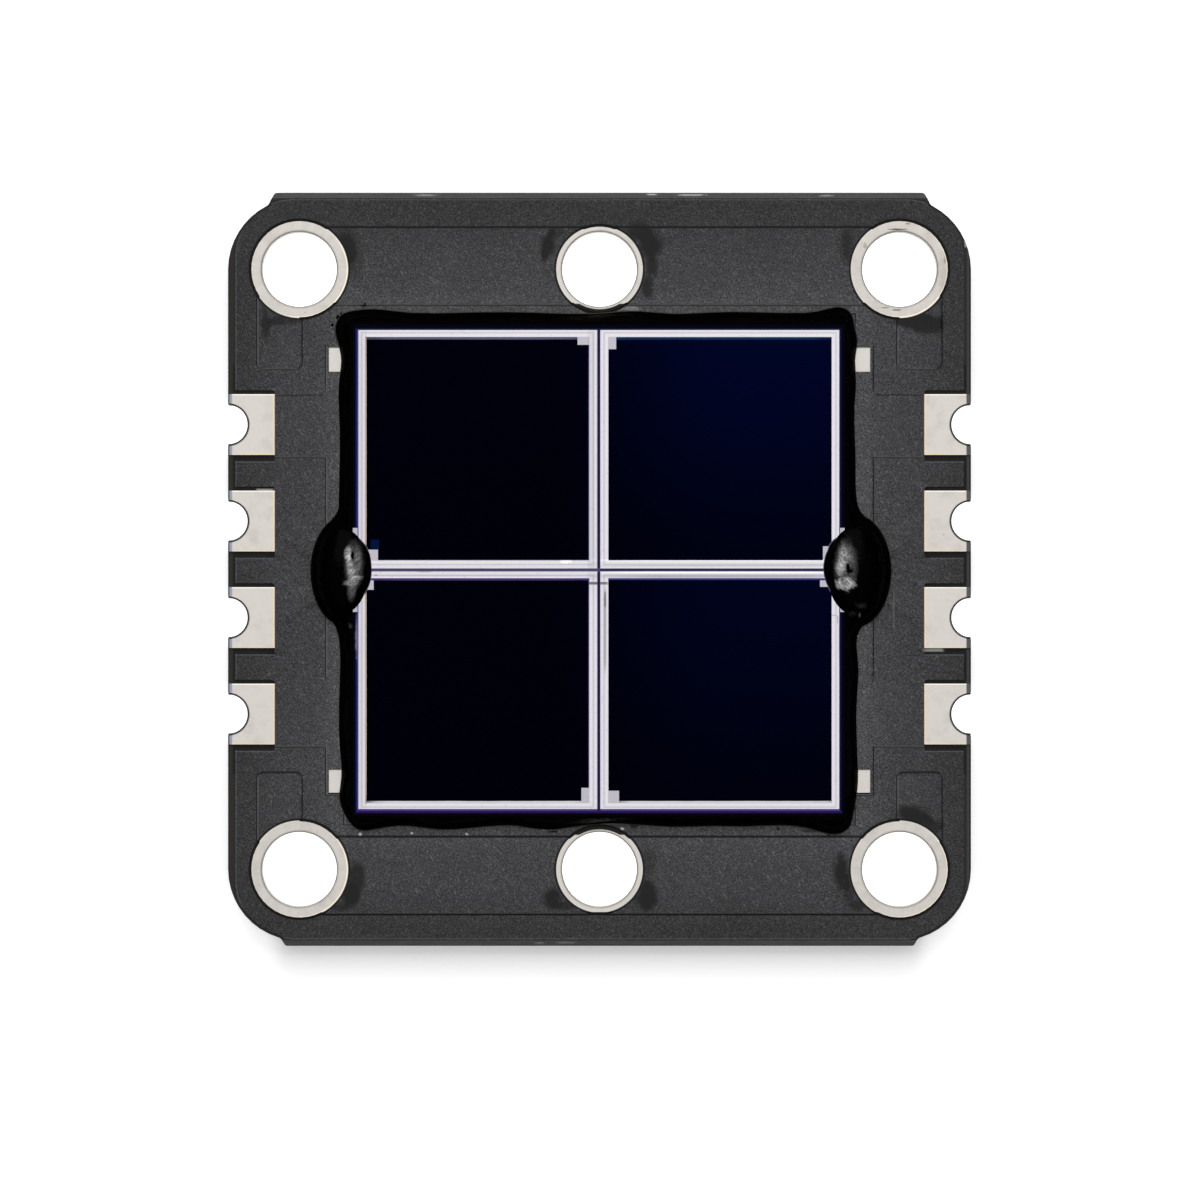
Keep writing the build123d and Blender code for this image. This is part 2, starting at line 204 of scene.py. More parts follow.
class Skin(Nodes):
    # A material that starts in its look's colour and has other colours laid over it
    def __init__(self, name, look):
        self.material = bpy.data.materials.new(name)
        self.material.use_nodes = True
        super().__init__(self.material.node_tree)
        self.look = look
        self.colour = look["colour"]
        self.shader = self.tree.nodes["Principled BSDF"]
        self.wire(look["colour"], self.shader, "Base Color")
        self.wire(look["roughness"], self.shader, "Roughness")
        self.wire(look.get("specular", 0.5), self.shader, "Specular IOR Level")
        self.wire(look.get("metallic", 0.0), self.shader, "Metallic")
        self.place = self.add("ShaderNodeTexCoord").outputs["Object"]
        self.x, self.y, self.z = self.split(self.place)

    def coat(self, shade, *shares):
        # Lays a colour over the rest: a colour of the look by its name, or any other
        shade = self.look[shade] if isinstance(shade, str) else shade
        self.colour = self.mix(self.times(*shares), self.colour, shade)

    def bump(self, height, depth, strength):
        bump = self.add("ShaderNodeBump", Height=height, Distance=depth, Strength=strength)
        self.wire(bump.outputs["Normal"], self.shader, "Normal")

    def close(self, roughness=None):
        self.wire(self.colour, self.shader, "Base Color")
        if roughness:
            self.wire(roughness, self.shader, "Roughness")
        return self.material

    def grain(self, size):
        return self.use(grainGroup, Place=self.place, Scale=1.0 / size)

    def holes(self):
        side, row = board["right"], board["castellationPitch"]
        return self.use(holeGroup, Place=self.place, Pitch=board["holePitch"], Side=side, Row=row)

    def insideFrame(self):
        shift, half = quadrant["shift"], quadrant["half"]
        middle = quadrant["fromMiddle"]
        return self.use(frameGroup, Place=self.place, Middle=middle, Half=half, Shift=shift)["Distance"]

    def outside(self, halfWidth, halfHeight, radius):
        outline = self.use(
            outlineGroup, Place=self.place, HalfWidth=halfWidth, HalfHeight=halfHeight, Radius=radius
        )
        return outline["Distance"]

    def fray(self):
        # Noise that makes the edges of marks ragged
        return self.noise(self.place, self.look["raggedSize"], 3.0, 0.6)

    def mark(self, rough, x, y, halfWidth, halfHeight, tone=1.0, ragged=0.0, soft=0.5, square=0.0):
        # Places and sizes are in mm
        blot = self.use(
            blotGroup,
            Place=self.place,
            Middle=(x * mm, y * mm, 0.0),
            Size=(halfWidth * mm, halfHeight * mm, 1.0),
            Rough=rough,
            Ragged=ragged,
            Soft=soft,
            Square=square,
        )
        return self.times(blot["Mask"], tone)

    def marks(self, rough, marks):
        total = 0.0
        for mark in marks:
            total = self.math("ADD", total, self.mark(rough, *mark), clamp=True)
        return total


def dress(material, *starts):
    # Dresses every node whose name starts so
    for name in nodes:
        if name.startswith(starts):
            nodes[name].data.materials.clear()
            nodes[name].data.materials.append(material)


# Shared effects
def makeGrain():
    # Fine grain with sparse bright grains, as on sprayed lacquer or tin
    group = Group("fineGrain", Place=(0, 0, 0), Scale=20000.0)
    given = group.given
    fine = group.noise(given["Place"], given["Scale"], 2.0, 0.6)
    coarse = group.noise(given["Place"], group.times(given["Scale"], 0.31))
    value = group.plus(group.times(fine, 0.85), group.times(coarse, 0.15))
    return group.close(Value=value, Bright=group.ramp(fine, 0.64, 0.76))


def makeBlot():
    # A patch at one place on the board, seen from above: round or square, even or ragged
    group = Group(
        "blot",
        Place=(0, 0, 0),
        Middle=(0, 0, 0),
        Size=(0.001, 0.001, 1.0),
        Rough=0.5,
        Ragged=0.0,
        Soft=0.5,
        Square=0.0,
    )
    given = group.given
    offset = group.vector("SUBTRACT", given["Place"], given["Middle"])
    parts = group.split(group.vector("DIVIDE", offset, given["Size"]))
    across = group.size(parts["X"])
    along = group.size(parts["Y"])
    reach = group.ramp(given["Square"], 0.0, 1.0, group.length(across, along), group.most(across, along))
    push = group.times(group.minus(given["Rough"], 0.5), 4.0, given["Ragged"])
    halfSoft = group.times(given["Soft"], 0.5)
    outer = group.plus(1.0, halfSoft)
    inner = group.minus(1.0, halfSoft)
    return group.close(Mask=group.ramp(group.plus(reach, push), outer, inner))


def makeFrameDistance():
    # How far a point lies inside the outer edge of its quadrant's frame
    group = Group("frameDistance", Place=(0, 0, 0), Middle=0.0025, Half=0.0025, Shift=0.0)
    given = group.given
    sides = []
    for part in group.split(given["Place"])[:2]:
        centred = group.size(group.minus(part, given["Shift"]))
        sides.append(group.size(group.minus(centred, given["Middle"])))
    return group.close(Distance=group.minus(given["Half"], group.most(*sides)))


def makeSlope():
    # How far a face leans from the board's plane, how much towards the ends, and whether right and up
    group = Group("slope")
    x, y, z = group.split(group.add("ShaderNodeNewGeometry").outputs["True Normal"])
    return group.close(Lean=group.minus(1.0, group.size(z)), EndLean=group.size(y), Right=x, Up=y)


def makeHoleDistance():
    # How far a point is from the nearest corner hole, middle hole and half hole
    group = Group("holeDistance", Place=(0, 0, 0), Pitch=0.006, Side=0.0077, Row=0.002)
    given = group.given
    x, y, z = group.split(given["Place"])
    width = group.size(x)
    height = group.size(y)
    fromCorner = group.minus(width, given["Pitch"])
    fromEnd = group.minus(height, given["Pitch"])
    # The half holes' rows, at half a pitch and one and a half, fold onto one another
    halfRow = group.times(given["Row"], 0.5)
    fromRow = group.minus(halfRow, group.math("PINGPONG", height, halfRow))
    corner = group.length(fromCorner, fromEnd)
    across = group.times(fromCorner, group.math("SIGN", x))
    along = group.times(fromEnd, group.math("SIGN", y))
    return group.close(
        Corner=corner,
        Middle=group.length(width, fromEnd),
        HalfHole=group.length(group.minus(width, given["Side"]), fromRow),
        CornerShine=group.math("DIVIDE", group.minus(across, group.times(along, 0.6)), corner),
        CornerTurn=group.math("ARCTAN2", along, across),
    )


def makeOutlineDistance():
    # How far a point lies outside a rectangle with round corners, centred on the board
    group = Group("outlineDistance", Place=(0, 0, 0), HalfWidth=0.0077, HalfHeight=0.0077, Radius=0.001)
    given = group.given
    parts = group.split(given["Place"])
    beyond = []
    for axis, half in (("X", "HalfWidth"), ("Y", "HalfHeight")):
        straight = group.minus(given[half], given["Radius"])
        beyond.append(group.most(group.minus(group.size(parts[axis]), straight), 0.0))
    return group.close(Distance=group.minus(group.length(*beyond), given["Radius"]))


grainGroup = makeGrain()
blotGroup = makeBlot()
frameGroup = makeFrameDistance()
slopeGroup = makeSlope()
outlineGroup = makeOutlineDistance()
holeGroup = makeHoleDistance()
print("stage: shared effects")

# Solder mask: matte charcoal, paler towards the chip, with painted shade at the foot of each slope over
# the copper and painted highlights along some edges
maskLook = {
    "colour": (0.092, 0.093, 0.098),
    "darkGrain": (0.015, 0.0152, 0.0165),
    "brightGrain": (0.2, 0.2, 0.2),
    # the dark of nicks and patches, and of the painted shade on slopes and below the pads
    "darkMarkAndShadeColour": (0.0045, 0.0045, 0.0055),
    # the painted highlights on slopes, along the mask's outline and at the pads' lips
    "edgeColour": (0.17, 0.17, 0.175),
    "wetColour": (0.004, 0.0041, 0.0048),
    "fleckColour": (0.5, 0.49, 0.48),
    "strokeColour": (0.175, 0.175, 0.18),
    "warmEdgeColour": (0.075, 0.052, 0.028),
    "grainSize": 0.03 * mm,
    "strokeSize": (0.021 * mm, 0.085 * mm, 0.05 * mm),
    "strokes": ((38, 0.75), (-52, 0.45)),  # turned by, in degrees, and how strong
    "patchSize": 1.4 * mm,
    "raggedSize": 0.3 * mm,
    "grainDepth": 0.006 * mm,
    "roughness": 0.62,
    "wetRoughness": 0.42,
    "specular": 0.15,
    "halfWidth": 7.555 * mm,
    "halfHeight": 7.68 * mm,
    "cornerRadius": 1.21 * mm,
    "chipHalf": 5.5 * mm,  # the mask grows darker away from this square
    "chipCorner": 0.4 * mm,
    "glow": 0.37,  # how much paler the mask is right beside it
    "glowReach": 0.3 * mm,
    "innerTone": 0.81,
    "outerTone": 0.57,
    "padInner": 6.745 * mm,
    "padsHalf": 3.9 * mm,  # the row of pads lies within this, either way from the middle
    "padHalf": 0.63 * mm,
    "padLip": 0.222 * mm,  # where the painted highlight of the lip lies in each pitch of the row
    "padGap": 0.3 * mm,  # and the painted dark band
    "endsFrom": 6.7 * mm,  # past this the slopes get painted shade all over
}
# Marks: x, y, half width and half height in mm, then tone, raggedness, softness and squareness
maskJoins = [  # places on both sides where the copper carries on, so its edge gets no painted shade or highlight
    (side * x, y, halfWidth, halfHeight, 1.0, 0.0, 0.2, 1.0)
    for x, y, halfWidth, halfHeight in (
        (6.2, -2.33, 0.6, 0.12),
        (6.21, 3.69, 0.52, 0.1),
        (5.42, 4.71, 0.34, 0.085),
    )
    for side in (-1, 1)
]
maskStains = [  # where flux or glue wetted the mask
    (-5.26, 6.68, 0.2, 0.34, 1.0, 0.25, 1.2),
    (-5.06, 6.4, 0.14, 0.34, 0.5, 0.3, 1.4),
    (-6.92, 5.06, 0.09, 0.34, 0.9, 0.5, 0.9),
    (-6.62, 5.16, 0.22, 0.1, 0.9, 0.5, 0.9),
    (-6.3, 5.14, 0.12, 0.06, 0.7, 0.4, 0.9),
    (-1.06, 6.72, 0.14, 0.26, 1.0, 0.3, 1.0),
    (-1.14, 6.5, 0.08, 0.16, 0.9, 0.3, 1.0),
    (-0.88, 7.0, 0.16, 0.1, 0.6, 0.3, 1.2),
    (0.8, 7.0, 0.26, 0.2, 0.9, 0.2, 1.0),
    (1.05, 6.72, 0.24, 0.3, 1.0, 0.2, 0.9),
    (1.1, 6.28, 0.12, 0.2, 0.9, 0.3, 0.9),
    (1.0, 5.86, 0.12, 0.26, 0.9, 0.4, 0.9),
    (0.1, 7.2, 0.45, 0.2, 0.25, 0.5, 1.3),
    (5.13, 6.74, 0.14, 0.32, 0.8, 0.4, 1.2),
    (6.58, 5.16, 0.52, 0.16, 1.0, 0.3, 0.6),
    (6.8, 5.02, 0.28, 0.14, 0.9, 0.5, 0.9),
    (6.92, -5.35, 0.16, 0.14, 0.8, 0.4, 1.0),
    (-5.04, -6.42, 0.18, 0.34, 0.9, 0.2, 0.7),
    (-5.16, -6.78, 0.19, 0.2, 1.0, 0.3, 0.8),
    (-5.38, -7.01, 0.2, 0.08, 0.8, 0.3, 0.9),
    (-0.98, -6.8, 0.2, 0.2, 1.0, 0.3, 0.8),
    (-0.72, -6.97, 0.22, 0.08, 0.8, 0.3, 1.0),
    (0.99, -6.74, 0.22, 0.3, 1.0, 0.3, 0.7),
    (1.0, -6.05, 0.13, 0.36, 0.5, 0.4, 1.0),
    (5.02, -6.3, 0.14, 0.42, 1.0, 0.4, 1.0),
    (5.16, -6.62, 0.1, 0.28, 0.7, 0.5, 1.0),
    (6.48, -5.07, 0.32, 0.16, 1.0, 0.3, 0.9),
    (6.66, -5.2, 0.22, 0.1, 0.8, 0.3, 0.9),
    (5.34, -6.96, 0.12, 0.1, 0.8, 0.6, 1.0),
]
maskNicks = [  # dark nicks beside the bead, smears by the middle ring, and painted shade lines at two joins
    (-4.9, 5.46, 0.05, 0.022, 1.0, 0.5),
    (-4.86, 5.49, 0.02, 0.04, 1.0, 0.3),
    (-0.96, -5.44, 0.11, 0.02),
    (0.72, -5.33, 0.09, 0.035, 0.8, 0.4),
    (3.7, -5.38, 0.035, 0.03),
    (4.75, -5.49, 0.035, 0.03),
    (4.37, -5.42, 0.2, 0.03, 0.6, 0.6),
    (-6.25, 3.603, 0.48, 0.016, 0.6, 0.1, 0.5, 1.0),
    (-5.76, 3.622, 0.05, 0.016, 0.6, 0.1),
    (6.25, 3.612, 0.48, 0.016, 0.6, 0.1, 0.5, 1.0),
    (5.76, 3.63, 0.05, 0.016, 0.6, 0.1),
]
maskFlecks = [  # pale specks and scratches
    (-4.96, -5.49, 0.035, 0.03, 0.8),
    (-3.89, -5.47, 0.03, 0.025, 0.7),
    (-2.75, -5.49, 0.03, 0.025, 0.7),
    (-1.13, -5.38, 0.075, 0.028, 0.7, 0.4),
    (0.47, -5.38, 0.04, 0.03, 0.8),
    (5.34, -1.38, 0.022, 0.03, 0.9),
    (0.53, 5.4, 0.3, 0.05, 0.22, 0.8),
    (6.1, -0.88, 0.015, 0.5, 0.09, 0.3),
    (6.92, -1.68, 0.2, 0.03, 0.45, 0.1, 0.5, 1.0),
]


def makeMaskSkin():
    skin = Skin("solderMask", maskLook)
    grain = skin.grain(maskLook["grainSize"])
    patches = skin.noise(skin.place, maskLook["patchSize"], 4.0, 0.6)
    ragged = skin.fray()
    pale = skin.ramp(grain["Value"], 0.3, 0.75)
    skin.colour = skin.mix(pale, maskLook["darkGrain"], maskLook["colour"])
    skin.coat("brightGrain", grain["Bright"], 0.4)
    for turn, amount in maskLook["strokes"]:
        strokes = skin.streaks(skin.place, maskLook["strokeSize"], turn)
        skin.coat("strokeColour", skin.ramp(strokes, 0.58, 0.76, 0.0, amount))
    top = board["maskTop"]
    thin = skin.ramp(skin.z, top - 0.03 * mm, top - 0.005 * mm, 0.06, 0.0)
    skin.coat("darkMarkAndShadeColour", skin.plus(thin, skin.ramp(patches, 0.35, 0.75, 0.0, 0.12)))
    # Paler beside the chip, darker towards the board's own edge
    half = maskLook["chipHalf"]
    away = skin.most(skin.outside(half, half, maskLook["chipCorner"]), 0.0)
    outward = skin.ramp(away, 2.1 * mm, 0.9 * mm, maskLook["outerTone"], maskLook["innerTone"])
    near = skin.math("EXPONENT", skin.math("DIVIDE", away, -maskLook["glowReach"]))
    tone = skin.plus(outward, skin.times(near, maskLook["glow"]))
    skin.colour = skin.vector("SCALE", skin.colour, tone)
    # Slopes over the copper get painted shade at the foot, or all over by the board's ends and where they
    # face up, and a painted highlight at the top where they face left or down
    slope = skin.use(slopeGroup)
    steep = skin.ramp(slope["Lean"], 0.06, 0.14)
    width = skin.size(skin.x)
    height = skin.size(skin.y)
    ends = maskLook["endsFrom"]
    past = ends + 0.1 * mm
    middle = skin.minus(top / mm, skin.ramp(height, past, past + 0.1 * mm, 0.018, 0.003))
    foot = skin.ramp(skin.math("DIVIDE", skin.z, mm), middle, skin.minus(middle, 0.006))
    footShade = skin.ramp(slope["Up"], -0.15, -0.3, 0.95, 0.6)
    footShade = skin.most(footShade, skin.ramp(height, ends, past, 0.0, 0.95))
    upward = skin.ramp(slope["Up"], 0.35, 0.5, 0.0, 0.85)
    leftDown = skin.ramp(skin.plus(slope["Right"], slope["Up"]), -0.2, -0.5, 0.0, 0.4)
    apart = skin.minus(1.0, skin.marks(ragged, maskJoins))
    skin.coat("edgeColour", steep, leftDown, apart)
    skin.coat("darkMarkAndShadeColour", skin.most(skin.times(steep, foot, footShade), upward), apart)
    # A thin painted highlight just inside the mask's own outline
    inside = skin.outside(maskLook["halfWidth"], maskLook["halfHeight"], maskLook["cornerRadius"])
    edgeLine = skin.band(inside, -0.022 * mm, 0.01 * mm, 0.012 * mm)
    skin.coat("edgeColour", edgeLine, skin.ramp(skin.x, 7.45 * mm, 7.3 * mm), 0.22)
    # Below each pad a dark band is painted on the mask, as if it stood back further, with a painted
    # highlight for its lip, and beside the pad the mask is brown
    inner = maskLook["padInner"]
    besidePads = skin.within(height, maskLook["padsHalf"], 0.1 * mm)
    inRow = skin.math("FLOORED_MODULO", skin.y, board["castellationPitch"])
    outer = skin.times(skin.ramp(width, inner - 0.02 * mm, inner), besidePads)
    lip = skin.band(inRow, maskLook["padLip"], 0.012 * mm, 0.012 * mm)
    padGap = skin.band(inRow, maskLook["padGap"], 0.06 * mm, 0.014 * mm)
    skin.coat("edgeColour", outer, lip, 0.25)
    skin.coat("darkMarkAndShadeColour", outer, padGap, 0.93)
    alongPad = skin.band(inRow, board["castellationPitch"] / 2, maskLook["padHalf"], 0.01 * mm)
    brown = skin.band(width, inner - 0.022 * mm, 0.014 * mm, 0.012 * mm)
    skin.coat("warmEdgeColour", brown, besidePads, alongPad, 0.6)
    wet = skin.times(skin.marks(ragged, maskStains), 0.94)
    skin.coat("wetColour", wet)
    skin.coat("darkMarkAndShadeColour", skin.marks(ragged, maskNicks))
    skin.coat("fleckColour", skin.marks(ragged, maskFlecks))
    skin.bump(grain["Value"], maskLook["grainDepth"], 0.8)
    return skin.close(skin.ramp(wet, 0.0, 1.0, maskLook["roughness"], maskLook["wetRoughness"]))


dress(makeMaskSkin(), "solder_mask")
print("stage: solder mask")

# Laminate: dark routed sides, black in the gaps round the pads, broken fibres on the scored ends
laminateLook = {
    "colour": (0.015, 0.0138, 0.013),
    "gapColour": (0.0006, 0.0006, 0.0007),
    "scoredColour": (0.021, 0.0208, 0.0205),
    "fibreColour": (0.047, 0.046, 0.044),
    "ridgeColour": (0.04, 0.04, 0.042),
    "chipColour": (0.42, 0.41, 0.39),
    "fibreSize": (0.5 * mm, 0.03 * mm, 0.03 * mm),
    "fibreDepth": 0.02 * mm,
    "grainSize": 0.05 * mm,
    "raggedSize": 0.08 * mm,
    "ringGap": 0.075 * mm,
    "gapFrom": 7.6 * mm,  # the gaps beside the pads end this far from the middle
    "ridge": 7.64 * mm,
    "roughness": 0.75,
    "specular": 0.3,
}
edgeChips = [  # white bruises along the two snapped edges
    (1.08, 7.775, 0.12, 0.016, 0.7, 0.25),
    (1.9, 7.765, 0.3, 0.02, 0.6, 0.35),
    (-3.6, 7.76, 0.22, 0.02, 0.35, 0.4),
    (4.7, 7.75, 0.15, 0.02, 0.35, 0.4),
    (-1.25, -7.75, 0.1, 0.025, 0.25, 0.4),
    (-0.7, -7.74, 0.2, 0.025, 0.25, 0.5),
]
cornerScuffs = [  # where the routed corner was knocked, and copper bared beside two pads
    (7.59, 6.8, 0.03, 0.12, 0.6, 0.3),
    (-6.93, 1.64, 0.17, 0.03, 0.6, 0.1, 0.5, 1.0),
    (6.92, -1.66, 0.2, 0.045, 0.6, 0.1, 0.5, 1.0),
]


def makeLaminateSkin():
    skin = Skin("laminate", laminateLook)
    stretch = skin.add("ShaderNodeMapping", Vector=skin.place)
    stretch.inputs["Scale"].default_value = [1.0 / size for size in laminateLook["fibreSize"]]
    fibres = skin.noise(stretch.outputs["Vector"], 1.0, 3.0, 0.65)
    slope = skin.use(slopeGroup)
    holes = skin.holes()
    skin.coat("scoredColour", skin.grain(laminateLook["grainSize"])["Bright"], 0.3)
    width = skin.size(skin.x)
    besidePads = skin.within(skin.size(skin.y), board["rowHalf"], 0.1 * mm)
    gap = skin.times(skin.within(width, laminateLook["gapFrom"], 0.04 * mm), besidePads)
    for hole, ring in ringsByHole.items():
        reach = board[ring] + laminateLook["ringGap"]
        gap = skin.most(gap, skin.ramp(holes[hole], reach + 0.02 * mm, reach))
    # A painted highlight runs along a ridge on the right side, and the very edge of the routed sides is
    # black too
    skin.coat("ridgeColour", skin.band(skin.x, laminateLook["ridge"], 0.016 * mm, 0.02 * mm))
    gap = skin.most(gap, skin.ramp(width, board["right"] - 0.03 * mm, board["right"] - 0.015 * mm))
    skin.coat("gapColour", gap, skin.ramp(slope["Lean"], 0.5, 0.1))
    ragged = skin.fray()
    upper = skin.ramp(skin.z, 0.6 * mm, 0.7 * mm)
    skin.coat("chipColour", skin.marks(ragged, cornerScuffs), upper)
    shreds = skin.ramp(fibres, 0.45, 0.65)
    broken = skin.mix(shreds, laminateLook["scoredColour"], laminateLook["fibreColour"])
    chips = skin.times(skin.marks(ragged, edgeChips), upper)
    broken = skin.mix(chips, broken, laminateLook["chipColour"])
    skin.coat(broken, skin.ramp(slope["EndLean"], 0.25, 0.45))
    skin.bump(fibres, laminateLook["fibreDepth"], 0.7)
    return skin.close()


dress(makeLaminateSkin(), "laminate")
print("stage: laminate")

# Tinned copper: pale and warm, with a faint cloudy grain, painted shade at its rims and bevels, and
# painted highlights along some edges
tinLook = {
    "colour": (0.578, 0.55, 0.511),
    "dullColour": (0.44, 0.415, 0.38),
    "rimColour": (0.055, 0.045, 0.036),
    "edgeColour": (0.004, 0.004, 0.004),
    "warmEdgeColour": (0.78, 0.6, 0.36),
    "shineColour": (0.95, 0.9, 0.8),
    "ringShineColour": (0.95, 0.84, 0.64),
    "leftEndColour": (0.27, 0.29, 0.35),
    "rightEndColour": (0.075, 0.075, 0.08),
    "smudgeColour": (0.085, 0.05, 0.024),
    "grainSize": 0.1 * mm,
    "grainDepth": 0.003 * mm,
    "cloudSize": 0.35 * mm,
    "raggedSize": 0.09 * mm,
    "brushTurns": 6.0,  # streaks in each radian round a corner hole
    "brushLength": 2.0 * mm,
    "roughness": 0.4,
    "dullRoughness": 0.6,
    "specular": 0.4,
    "metallic": 0.6,
    "narrowEnd": 5.505 * mm,  # nearer to the chip than this, the middle rings are narrow
    "narrowHalf": 0.97 * mm,
}
tinPadEdges = [  # painted highlights along the pads' edges: across the row or the board, middle and half width in mm, strength and colour
    ("row", 1.617, 0.01, 0.8, "shineColour"),
    ("row", 0.383, 0.01, 0.7, "warmEdgeColour"),
    ("board", 6.752, 0.012, 0.8, "warmEdgeColour"),
]
tinEnds = [  # painted shade on the pads' ends and the left rim: where the end begins and is full, in mm from the middle, strength and colour
    (-7.6, -7.63, 1.0, "leftEndColour"),
    (7.59, 7.62, 1.0, "rightEndColour"),
    (-7.66, -7.675, 0.8, "rimColour"),
]
tinSmudges = [  # brown flux, most of it at the upper right ring
    (6.18, 7.045, 0.16, 0.018, 0.9, 0.3),
    (7.12, 6.1, 0.08, 0.42, 0.2, 0.3, 1.2),
    (6.4, 7.16, 0.05, 0.015, 0.7, 0.4),
    (6.16, 5.375, 0.1, 0.015, 0.8, 0.5),
    (5.92, 5.42, 0.09, 0.012, 0.6, 0.5),
    (5.5, 6.7, 0.035, 0.06, 0.35, 0.5),
    (7.16, 6.42, 0.025, 0.09, 0.35, 0.6),
    (7.13, 0.72, 0.03, 0.02, 0.25, 0.5),
    (-6.1, 5.32, 0.02, 0.02, 0.3, 0.5),
]


def makeTinSkin():
    skin = Skin("tinnedCopper", tinLook)
    grain = skin.grain(tinLook["grainSize"])
    clouds = skin.noise(skin.place, tinLook["cloudSize"], 4.0, 0.65)
    skin.coat("dullColour", skin.ramp(clouds, 0.45, 0.8), 0.36)
    skin.coat("dullColour", skin.ramp(grain["Value"], 0.4, 0.25, 0.0, 0.35))
    holes = skin.holes()
    lean = skin.use(slopeGroup)["Lean"]
    flat = skin.ramp(lean, 0.1, 0.05)
    width = skin.size(skin.x)
    height = skin.size(skin.y)
    # The corner rings are brushed round their holes, each in its own way
    outward = skin.math("DIVIDE", holes["Corner"], tinLook["brushLength"])
    ring = skin.times(skin.plus(skin.math("SIGN", skin.x), skin.math("SIGN", skin.y)), 3.0)
    turned = skin.add("ShaderNodeCombineXYZ", X=holes["CornerTurn"], Y=outward, Z=ring)
    brushed = skin.noise(turned.outputs["Vector"], 1.0 / tinLook["brushTurns"], 3.0, 0.6)
    onRing = skin.ramp(holes["Corner"], 1.1 * mm, 1.06 * mm)
    skin.coat("dullColour", onRing, skin.ramp(brushed, 0.35, 0.7, 0.1, 0.42))
    # The pads: painted highlights along their upper, lower and inner edges, pale and warm, and painted
    # shade on their ends and rims at the board's edge
    amongPads = skin.times(skin.within(height, board["rowHalf"], 0.1 * mm), flat)
    ways = {"row": skin.math("FLOORED_MODULO", skin.y, board["castellationPitch"]), "board": width}
    for way, middle, half, strength, shade in tinPadEdges:
        edge = skin.band(ways[way], middle * mm, half * mm, 0.012 * mm)
        skin.coat(shade, edge, amongPads, strength)
    upper = skin.times(skin.ramp(skin.z, 0.5 * mm, 0.6 * mm), skin.ramp(lean, 0.95, 0.85))
    for low, high, strength, shade in tinEnds:
        skin.coat(shade, skin.ramp(skin.x, low * mm, high * mm), strength, upper)
    lined = skin.ramp(holes["HalfHole"], board["halfHole"], board["halfHole"] - 0.012 * mm)
    skin.coat("edgeColour", lined, upper, 0.95)
    # Each hole's bevel ends in a thin line of painted shade, and the corner rings' inner edges get a
    # painted highlight
    for hole in ringsByHole:
        line = skin.band(holes[hole], board["holeRadius"] + 0.04 * mm, 0.006 * mm, 0.014 * mm)
        skin.coat("rimColour", line, 0.25, flat)
    ringEdge = skin.band(holes["Corner"], board["cornerRing"] - 0.004 * mm, 0.01 * mm, 0.012 * mm)
    shine = skin.ramp(holes["CornerShine"], 0.0, 0.8, 0.1, 0.9)
    skin.coat("ringShineColour", ringEdge, shine, flat)
    # Where the mask opens wider than the rings, the copper beyond them is dark
    for hole, ring in ringsByHole.items():
        beyond = skin.ramp(holes[hole], board[ring] + 0.012 * mm, board[ring] + 0.022 * mm)
        within = skin.ramp(holes[hole], board[ring] + 0.1 * mm, board[ring] + 0.09 * mm)
        skin.coat("edgeColour", beyond, within, flat)
    # Towards the chip the middle rings are narrow, and the rest of their opening is dark
    narrow = board["holeRadius"] + 0.045 * mm
    narrow = skin.ramp(holes["Middle"], narrow, narrow + 0.015 * mm)
    chipward = skin.within(height, tinLook["narrowEnd"], 0.02 * mm)
    besideMiddle = skin.within(width, tinLook["narrowHalf"], 0.02 * mm)
    skin.coat("edgeColour", narrow, chipward, besideMiddle, flat)
    ragged = skin.fray()
    skin.coat("smudgeColour", skin.marks(ragged, tinSmudges), flat)
    # The lips and bevels, between flat and steep, get painted shade in the dull colour
    skin.coat("dullColour", skin.ramp(lean, 0.15, 0.25), skin.ramp(lean, 0.6, 0.4), 0.5)
    skin.bump(grain["Value"], tinLook["grainDepth"], 0.5)
    return skin.close(skin.ramp(clouds, 0.3, 0.8, tinLook["roughness"], tinLook["dullRoughness"]))


tinSkin = makeTinSkin()
dress(tinSkin, "ground_copper", "cathode_copper", "anode_track")
print("stage: tinned copper")

# The plating inside the eight half holes, with round lips: shaped a thousand times larger, in mm
lining = {
    "outer": 0.462,
    "inner": 0.402,
    "lip": 0.022,
    "back": 0.004,
    "above": 0.005,
    "inset": 0.004,
    "vertices": 96,
}


def startPiece(name):
    # The new primitive, selected all over in edit mode
    piece = bpy.context.object
    piece.name = name
    bpy.ops.object.mode_set(mode="EDIT")
    bpy.ops.mesh.select_all(action="SELECT")
    return piece


def shrinkPiece():
    bpy.ops.mesh.select_all(action="SELECT")
    bpy.ops.transform.resize(value=(mm, mm, mm), center_override=(0, 0, 0))
    bpy.ops.object.mode_set(mode="OBJECT")
    bpy.ops.object.shade_smooth_by_angle(angle=math.radians(50))


